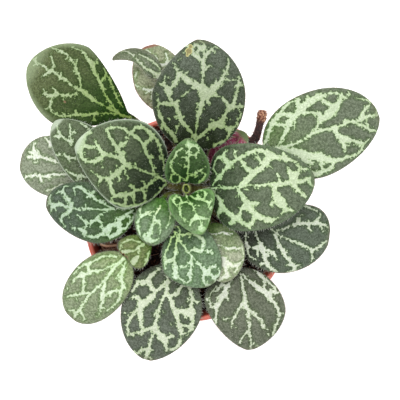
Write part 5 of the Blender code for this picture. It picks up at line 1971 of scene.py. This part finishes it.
BOTTOM_RIGHT_VEINS = (Sketch((190, 260), """
1.4 3: 72,19 74,32 76,40
3.6 5: 76,40 77,48 78,56 78,62
3.4 3.6: 77,60 73,66 68,72
3.6 2.4: 68,72 65,79 61,86 60,90
2.4 0.5: 60,90 66,96
1 1.6: 60,82 54,83 48,84
5 4.4: 79,61 81,68 84,74
3.6 3: 84,74 83,80 84,88 84,96 85,104 86,111
3.6 1.4: 86,111 87,118 85,128
2.4 1.6: 83,100 79,105 74,111 72,115
2 3: 72,115 71,118
3.4 4: 85,72 90,76 95,80
3.4 4.4: 95,80 100,86 103,92
3.4 0.8: 103,92 107,97 112,98
3.4 0.6: 102,86 104,82
2.4 0.6: 92,76 96,74
1.6 6: 75,21 80,27 87,32 93,36
6 9: 93,36 99,42 106,45 112,50
9 5: 112,50 115,56 119,60 123,66
5 3: 123,66 126,72 127,77 125,85
3: 125,85 123,92 121,98 118,105
3.4 0.6: 92,34 93,30
3.4 0.8: 127,76 134,77
3 0.6: 123,65 124,60
3 1: 123,92 119,94
1 6: 79,6 87,10 95,16 102,23
5.6 4.4: 102,23 106,29 106,35 105,42
3.4 2: 106,27 113,32 118,38 122,43
6 4: 113,47 119,45 126,48
3 0.8: 120,46 122,42
1.6: 111,105 112,107
1.4 7: 60,28 55,35 51,40
5 8: 51,40 50,45 48,51
6 5: 48,51 44,56 40,63 38,69
5 2.4: 38,69 37,76 37,84 37,90
5 0.6: 52,49 54,58
4.4 0.8: 45,52 38,53
4.4 3: 50,37 44,35
3.4 1.6: 46,37 41,40 37,44
1.2: 38,38 34,42 37,45 40,40
1 1.4: 34,43 30,47 28,53
4 2.4: 25,56 28,58 29,63
2.4 4: 29,63 31,66 38,67
1 0.8: 90,118 98,123
"""),)

SMALL_LEFT_VEINS = (Sketch((110, 210), """
1.4 3: 72,-6 70,-2 67,2 64,9 62,17
3 5: 62,17 59,24 58,31
6 8: 58,31 54,38 55,41
3.6 6: 49,33 50,38 54,42
7 1.2: 54,42 60,44 65,43 70,40
1.8 3.4: 66,2 60,3 56,6 54,4 50,7
4.4 2: 50,7 46,9 44,6 42,0
3.4 1.6: 45,9 41,15 40,21 41,28 43,35 46,40
3.4: 64,15 69,16 71,20
3 1: 71,20 72,26 70,35
3 0.6: 69,16 70,12
1.8 1.4: 84,-2 86,6 85,12 84,18 80,26
2.6 3: 46,-9 44,-3 42,1
"""),)

INNER_VEINS = (Sketch((110, 210), """
1.8 1.6: 92,32 98,42 105,51 111,59 115,65
1.8 2.6: 115,65 121,71 127,77 133,83
1.6 3: 93,32 96,40 95,48 94,56
3.6 4.4: 94,56 93,62 92,69
3.4 5: 92,74 93,83
5: 93,83 93,90 93,95
2.4 3: 92,69 92,76
5.6 3.6: 91,69 86,72 80,74
2.6 1.4: 80,74 78,66 79,62 83,54 87,44 89,36
2.6 1.2: 80,74 78,78 79,84
3 2: 94,84 90,82
5 0.8: 94,90 96,93 100,98
3 0.8: 92,90 90,95
2.6 3: 94,79 100,80 106,80 113,80
3 5: 115,64 116,70 116,76
4.4 4: 116,77 115,83 114,90 114,96
3.6 2.4: 114,96 114,102
2.4 0.8: 111,74 116,77
2.6 0.6: 116,77 120,76
1.2 1: 110,92 118,92
2 1.2: 114,102 109,103 104,101 100,98
1.6 2.4: 95,36 103,36 109,35 115,34
3 3.6: 115,34 121,35 127,38 133,42
3.6 4: 133,42 133,48 131,54 130,60
2.2 0.4: 113,36 115,42
2 0.4: 103,37 104,40
2 0.4: 116,34 116,30
2 5: 111,58 118,57 122,58 128,58
5 1: 128,58 134,58 140,59 146,62
3.4 0.6: 124,57 121,52
3 0.5: 143,60 144,56
6 3: 133,84 140,86 142,82
8 5: 135,88 133,96
4.4 1.2: 133,96 134,103 137,106 142,106
5 6: 136,90 143,92 148,96
6 3: 148,96 152,94 157,89
3 0.8: 148,96 150,101
3.4 2.4: 144,82 148,80 152,80
1.2 1.6: 154,83 156,87
1.2 0.6: 96,57 98,61
1.6 0.6: 129,80 130,76
1.4 2: 98,40 100,30 96,24 92,25
"""),)

ARCHED_VEINS = (Sketch((190, 210), """
1.2 3: 31,35 40,34 46,32 52,34 59,34
2.4 0.5: 49,34 48,37
1.8 3: 40,50 47,52 54,55 62,54
3 1.4: 62,54 69,55 74,53
4.4 5: 46,68 51,71 56,77 62,80
5 1.6: 62,80 68,78 74,72 77,70
7 6: 49,71 50,80 52,88 53,94
2.6 0.8: 52,94 58,94
3.4 0.8: 68,79 64,88
1.4 1.2: 74,50 75,57 76,65
4 6: 40,101 45,97 52,95
"""),)

FOLDED_VEINS = (Sketch((100, 30), """
1.2 1.6: 19,35 28,30 38,30 45,34 51,40
1.6 4: 51,40 54,45 59,48
2 5: 60,51 66,56 72,58
5 3.4: 72,58 77,62 84,64
5 3: 77,69 82,66 87,60
2 1.6: 47,47 56,60 64,68 74,74
0.8 2.6: 56,34 68,40 75,44
2.6 1.6: 75,44 83,51 88,57
"""),)

BEHIND_TOP_VEINS = (Sketch((100, 30), """
2 4.4: 69,30 74,37 79,43 84,48
3.6 4: 84,48 89,50 94,49
3.6 1.6: 94,49 96,43 94,33
3.6 2.4: 95,48 102,44 106,40
2 0.8: 80,43 79,36
1.6 3.6: 50,78 56,81 62,84 69,86
3.6 3: 69,86 74,85 79,83
2.6 0.6: 69,86 64,92
2.6 1.2: 74,86 74,93 73,100
1.6: 50,69 52,62 54,59
1.4 0.6: 62,33 66,30 65,27
"""),)

TURNED_VEINS = (Sketch((225, 125), """
1.4 0.8: 18,32 25,34 33,35
0.8 0.4: 30,52 38,44 42,33
""", 2.84),)

LEAVES = (
    Leaf("leaf_behind_top", -5.0, (-7.0, 39.6, 1.9), (-14.1, 66.2, -1.0), 3.4,
         Side(9.9, 0.48, 1.6, 2.3), Side(10.1, 0.5, 2.0, 1.75), BEHIND_TOP, phase=0.2,
         sketches=BEHIND_TOP_VEINS),
    Leaf("leaf_far_left", -5.0, (-31.2, 15.5, 2.6), (-63.7, 21.6, -1.5), 4.2,
         Side(10.8, 0.55, 2.0, 2.0), Side(12.2, 0.6, 2.0, 2.3), FAR_LEFT, phase=0.5,
         sketches=FAR_LEFT_VEINS),
    Leaf("leaf_bottom", -5.0, (-6.6, -17.5, 1.4), (-15.4, -54.1, -4.0), 3.8,
         Side(16.0, 0.44, 2.0, 1.63), Side(14.2, 0.5, 1.9, 1.85), BOTTOM, phase=0.1,
         sketches=BOTTOM_VEINS),
    Leaf("leaf_bottom_right", -5.0, (19.2, -18.7, 1.2), (23.8, -50.2, -4.0), 3.8,
         Side(15.6, 0.55, 1.9, 1.68), Side(14.4, 0.35, 1.9, 1.48), BOTTOM_RIGHT, phase=0.7,
         sketches=BOTTOM_RIGHT_VEINS),
    Leaf("leaf_upper_right", -4.0, (29.3, 24.8, 3.5), (72.8, 39.4, 0.0), 6.5,
         Side(16.7, 0.5, 2.15, 2.05), Side(15.6, 0.42, 2.0, 1.72), UPPER_RIGHT, phase=0.3,
         sketches=UPPER_RIGHT_VEINS),
    Leaf("leaf_bottom_left", -2.5, (-23.2, -14.0, 3.6), (-44.1, -37.7, 0.0), 5.2,
         Side(10.8, 0.48, 2.0, 2.2), Side(11.2, 0.5, 1.9, 2.2), LIME, phase=0.6,
         sketches=BOTTOM_LEFT_VEINS),
    Leaf("leaf_upper_left", -2.5, (-22.8, 39.0, 4.5), (-60.3, 58.8, 0.5), 6.8,
         Side(15.6, 0.55, 1.35, 1.7), Side(16.0, 0.58, 1.25, 1.8), YOUNG, phase=0.9,
         sketches=UPPER_LEFT_VEINS, spots=((65, 102, 0.9),)),
    Leaf("leaf_lower_right", -2.5, (19.9, -2.7, 3.4), (53.8, -8.1, 0.0), 6.2,
         Side(12.0, 0.7, 2.0, 2.5), Side(15.2, 0.47, 2.3, 1.8), SHADED, phase=0.4,
         sketches=LOWER_RIGHT_VEINS),
    Leaf("leaf_turned_over", -1.5, (8.2, 20.4, 4.0), (22.4, 32.2, 5.0), 5.5,
         Side(6.0, 0.5), Side(5.8, 0.5), WINE, cup=0.8, petiole=0.8, sketches=TURNED_VEINS),
    Leaf("leaf_left_shoulder", 0.0, (-24.6, 12.4, 6.5), (-50.2, 36.4, 6.5), 9.4,
         Side(11.2, 0.4, 2.0, 1.8), Side(9.7, 0.5, 2.0, 1.7), SHOULDER, phase=0.8,
         sketches=LEFT_SHOULDER_VEINS),
    Leaf("leaf_small_round", 0.0, (-14.2, -7.3, 7.0), (-22.8, -14.6, 5.6), 8.5,
         Side(6.8, 0.5), Side(6.8, 0.5), ROUND, notch=3.0, petiole=0.8,
         sketches=ROUND_VEINS, spots=((123.5, 254.5, 1.7), (126.5, 257.5, 1.6), (121, 253, 1.0))),
    Leaf("leaf_arched", 0.0, (8.0, -2.0, 5.0), (15.0, -23.8, 4.6), 7.4,
         Side(10.3, 0.5), Side(7.6, 0.5), ARCHED, cup=-1.6, phase=0.15,
         sketches=ARCHED_VEINS),
    Leaf("leaf_folded", 2.0, (-10.2, 52.9, 8.0), (-28.3, 59.7, 5.5), 9.5,
         Side(3.6, 0.2, 2.0, 1.05), Side(3.4, 0.35, 2.0, 2.0), FOLDED, bow=4.1, cup=2.0, wave=0.2,
         petiole=0.8, sketches=FOLDED_VEINS),
    Leaf("leaf_lower_left", 3.0, (-18.8, 4.1, 9.0), (-53.1, 5.6, 6.8), 11.8,
         Side(13.8, 0.42, 1.9, 1.6), Side(9.1, 0.6, 2.0, 2.1), LOWER_LEFT, phase=0.25,
         sketches=LOWER_LEFT_VEINS),
    Leaf("leaf_small_left", 6.0, (-9.0, 7.5, 10.4), (-14.1, -9.7, 11.0), 13.0,
         Side(7.0, 0.45), Side(8.4, 0.45), SMALL_LEFT, petiole=0.8, phase=0.55,
         sketches=SMALL_LEFT_VEINS),
    Leaf("leaf_inner_bottom", 4.5, (-5.3, -2.6, 9.3), (8.5, -25.1, 7.0), 11.4,
         Side(10.5, 0.45, 2.0, 2.2), Side(12.0, 0.5, 1.5, 1.55), INNER, phase=0.35,
         sketches=INNER_VEINS),
    Leaf("leaf_big_top", 7.0, (2.2, 25.8, 12.0), (4.4, 67.2, 10.0), 15.5,
         Side(16.3, 0.48, 2.0, 1.4), Side(18.4, 0.49, 2.3, 1.83), BIG_TOP, phase=0.05,
         sketches=BIG_TOP_VEINS, spots=((189, 51.5, 3.1), (190.5, 47, 2.0), (187.5, 55, 1.6))),
    Leaf("leaf_big_right", 7.0, (8.9, 11.2, 12.0), (47.7, 15.0, 9.5), 15.5,
         Side(15.8, 0.3, 2.9, 1.75), Side(17.0, 0.38, 2.8, 1.8), BIG_RIGHT, phase=0.65,
         sketches=BIG_RIGHT_VEINS),
    Leaf("leaf_big_left", 8.0, (-8.2, 13.1, 13.0), (-41.8, 27.6, 11.0), 16.5,
         Side(15.0, 0.36, 1.7, 1.4), Side(18.0, 0.44, 1.9, 1.7), BIG_LEFT, phase=0.45,
         sketches=BIG_LEFT_VEINS),
    Leaf("leaf_young_top", 12.0, (-0.3, 13.7, 14.0), (0.7, 30.0, 19.0), 18.2,
         Side(8.3, 0.38, 2.8, 1.7), Side(8.6, 0.45, 2.3, 1.6), FRESH, notch=-2.0, petiole=0.55,
         sketches=YOUNG_TOP_VEINS),
    Leaf("leaf_young_bottom", 12.0, (-0.4, 8.6, 14.5), (5.9, -5.6, 15.5), 17.3,
         Side(10.9, 0.5, 2.5, 1.7), Side(6.9, 0.4, 2.8, 1.6), BRIGHT, notch=-3.8, bow=0.9, petiole=0.55,
         phase=0.5, sketches=YOUNG_BOTTOM_VEINS),
)


@dataclass
class Studio:
    """A near white floor, soft light from all around and from the upper left, and a camera overhead."""
    floor_half: float = 1.6     # in metres
    floor_glow: float = 0.35
    sky: float = 0.85
    sensor: float = 36.0        # the camera's width of film

    def build(self) -> None:
        """Put up the floor, the lights and the camera, which looks straight down."""
        scene = bpy.context.scene
        scene.view_settings.view_transform = "Standard"
        corner = self.floor_half
        mesh = bpy.data.meshes.new("floor")
        corners = [(-corner, -corner, 0), (corner, -corner, 0), (corner, corner, 0), (-corner, corner, 0)]
        mesh.from_pydata(corners, [], [(0, 1, 2, 3)])
        floor = add_object("floor", mesh)
        paint = Paint("pale floor", 0.8)
        paint.colour((0.95, 0.95, 0.95))
        paint.set(Emission_Color=(1.0, 1.0, 1.0), Emission_Strength=self.floor_glow)
        mesh.materials.append(paint.material)
        world = bpy.data.worlds.new("soft light")
        world.use_nodes = True
        sky = world.node_tree.nodes["Background"]
        sky.inputs["Color"].default_value = (1.0, 1.0, 1.0, 1.0)
        sky.inputs["Strength"].default_value = self.sky
        scene.world = world
        self.add_light("key light", (-0.35, 0.45, 0.9), 0.7, 9.0)
        self.add_light("fill light", (0.6, -0.3, 0.9), 0.9, 4.0)
        camera = bpy.data.cameras.new("camera")
        camera.sensor_width = self.sensor
        camera.lens = self.sensor * EYE_HEIGHT / VIEW_WIDTH
        camera.clip_start = 0.01
        scene.camera = add_object("camera", camera)
        scene.camera.location = (EYE[0] * MM, EYE[1] * MM, (POT_HEIGHT + EYE_HEIGHT) * MM)

    def add_light(self, name: str, at: tuple[float, float, float], size: float, power: float) -> None:
        """Hang a square soft light that faces the plant.

        Args:
            name: Its name.
            at: Where it hangs, in metres.
            size: Its side, in metres.
            power: Its power in watts.
        """
        light = bpy.data.lights.new(name, "AREA")
        light.size = size
        light.energy = power
        lamp = add_object(name, light)
        away = np.array(at) - [0, 0, POT_HEIGHT * MM]
        lamp.location = at
        lamp.rotation_euler = (math.atan2(math.hypot(away[0], away[1]), away[2]), 0,
                               math.atan2(away[1], away[0]) + math.pi / 2)


def main() -> None:
    """Build every piece in order and report it."""
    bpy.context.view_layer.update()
    Studio().build()
    pieces = [Pot().build(), *Soil().build(), Crown().build(), DriedStalk().build(), *Rosette(LEAVES).build()]
    total = 0
    for piece in pieces:
        triangles = sum(len(face.vertices) - 2 for face in piece.data.polygons)
        total += triangles
        LOG.info("%s has %d triangles", piece.name, triangles)
    LOG.info("%d triangles in all", total)


if __name__ == "__main__":
    main()
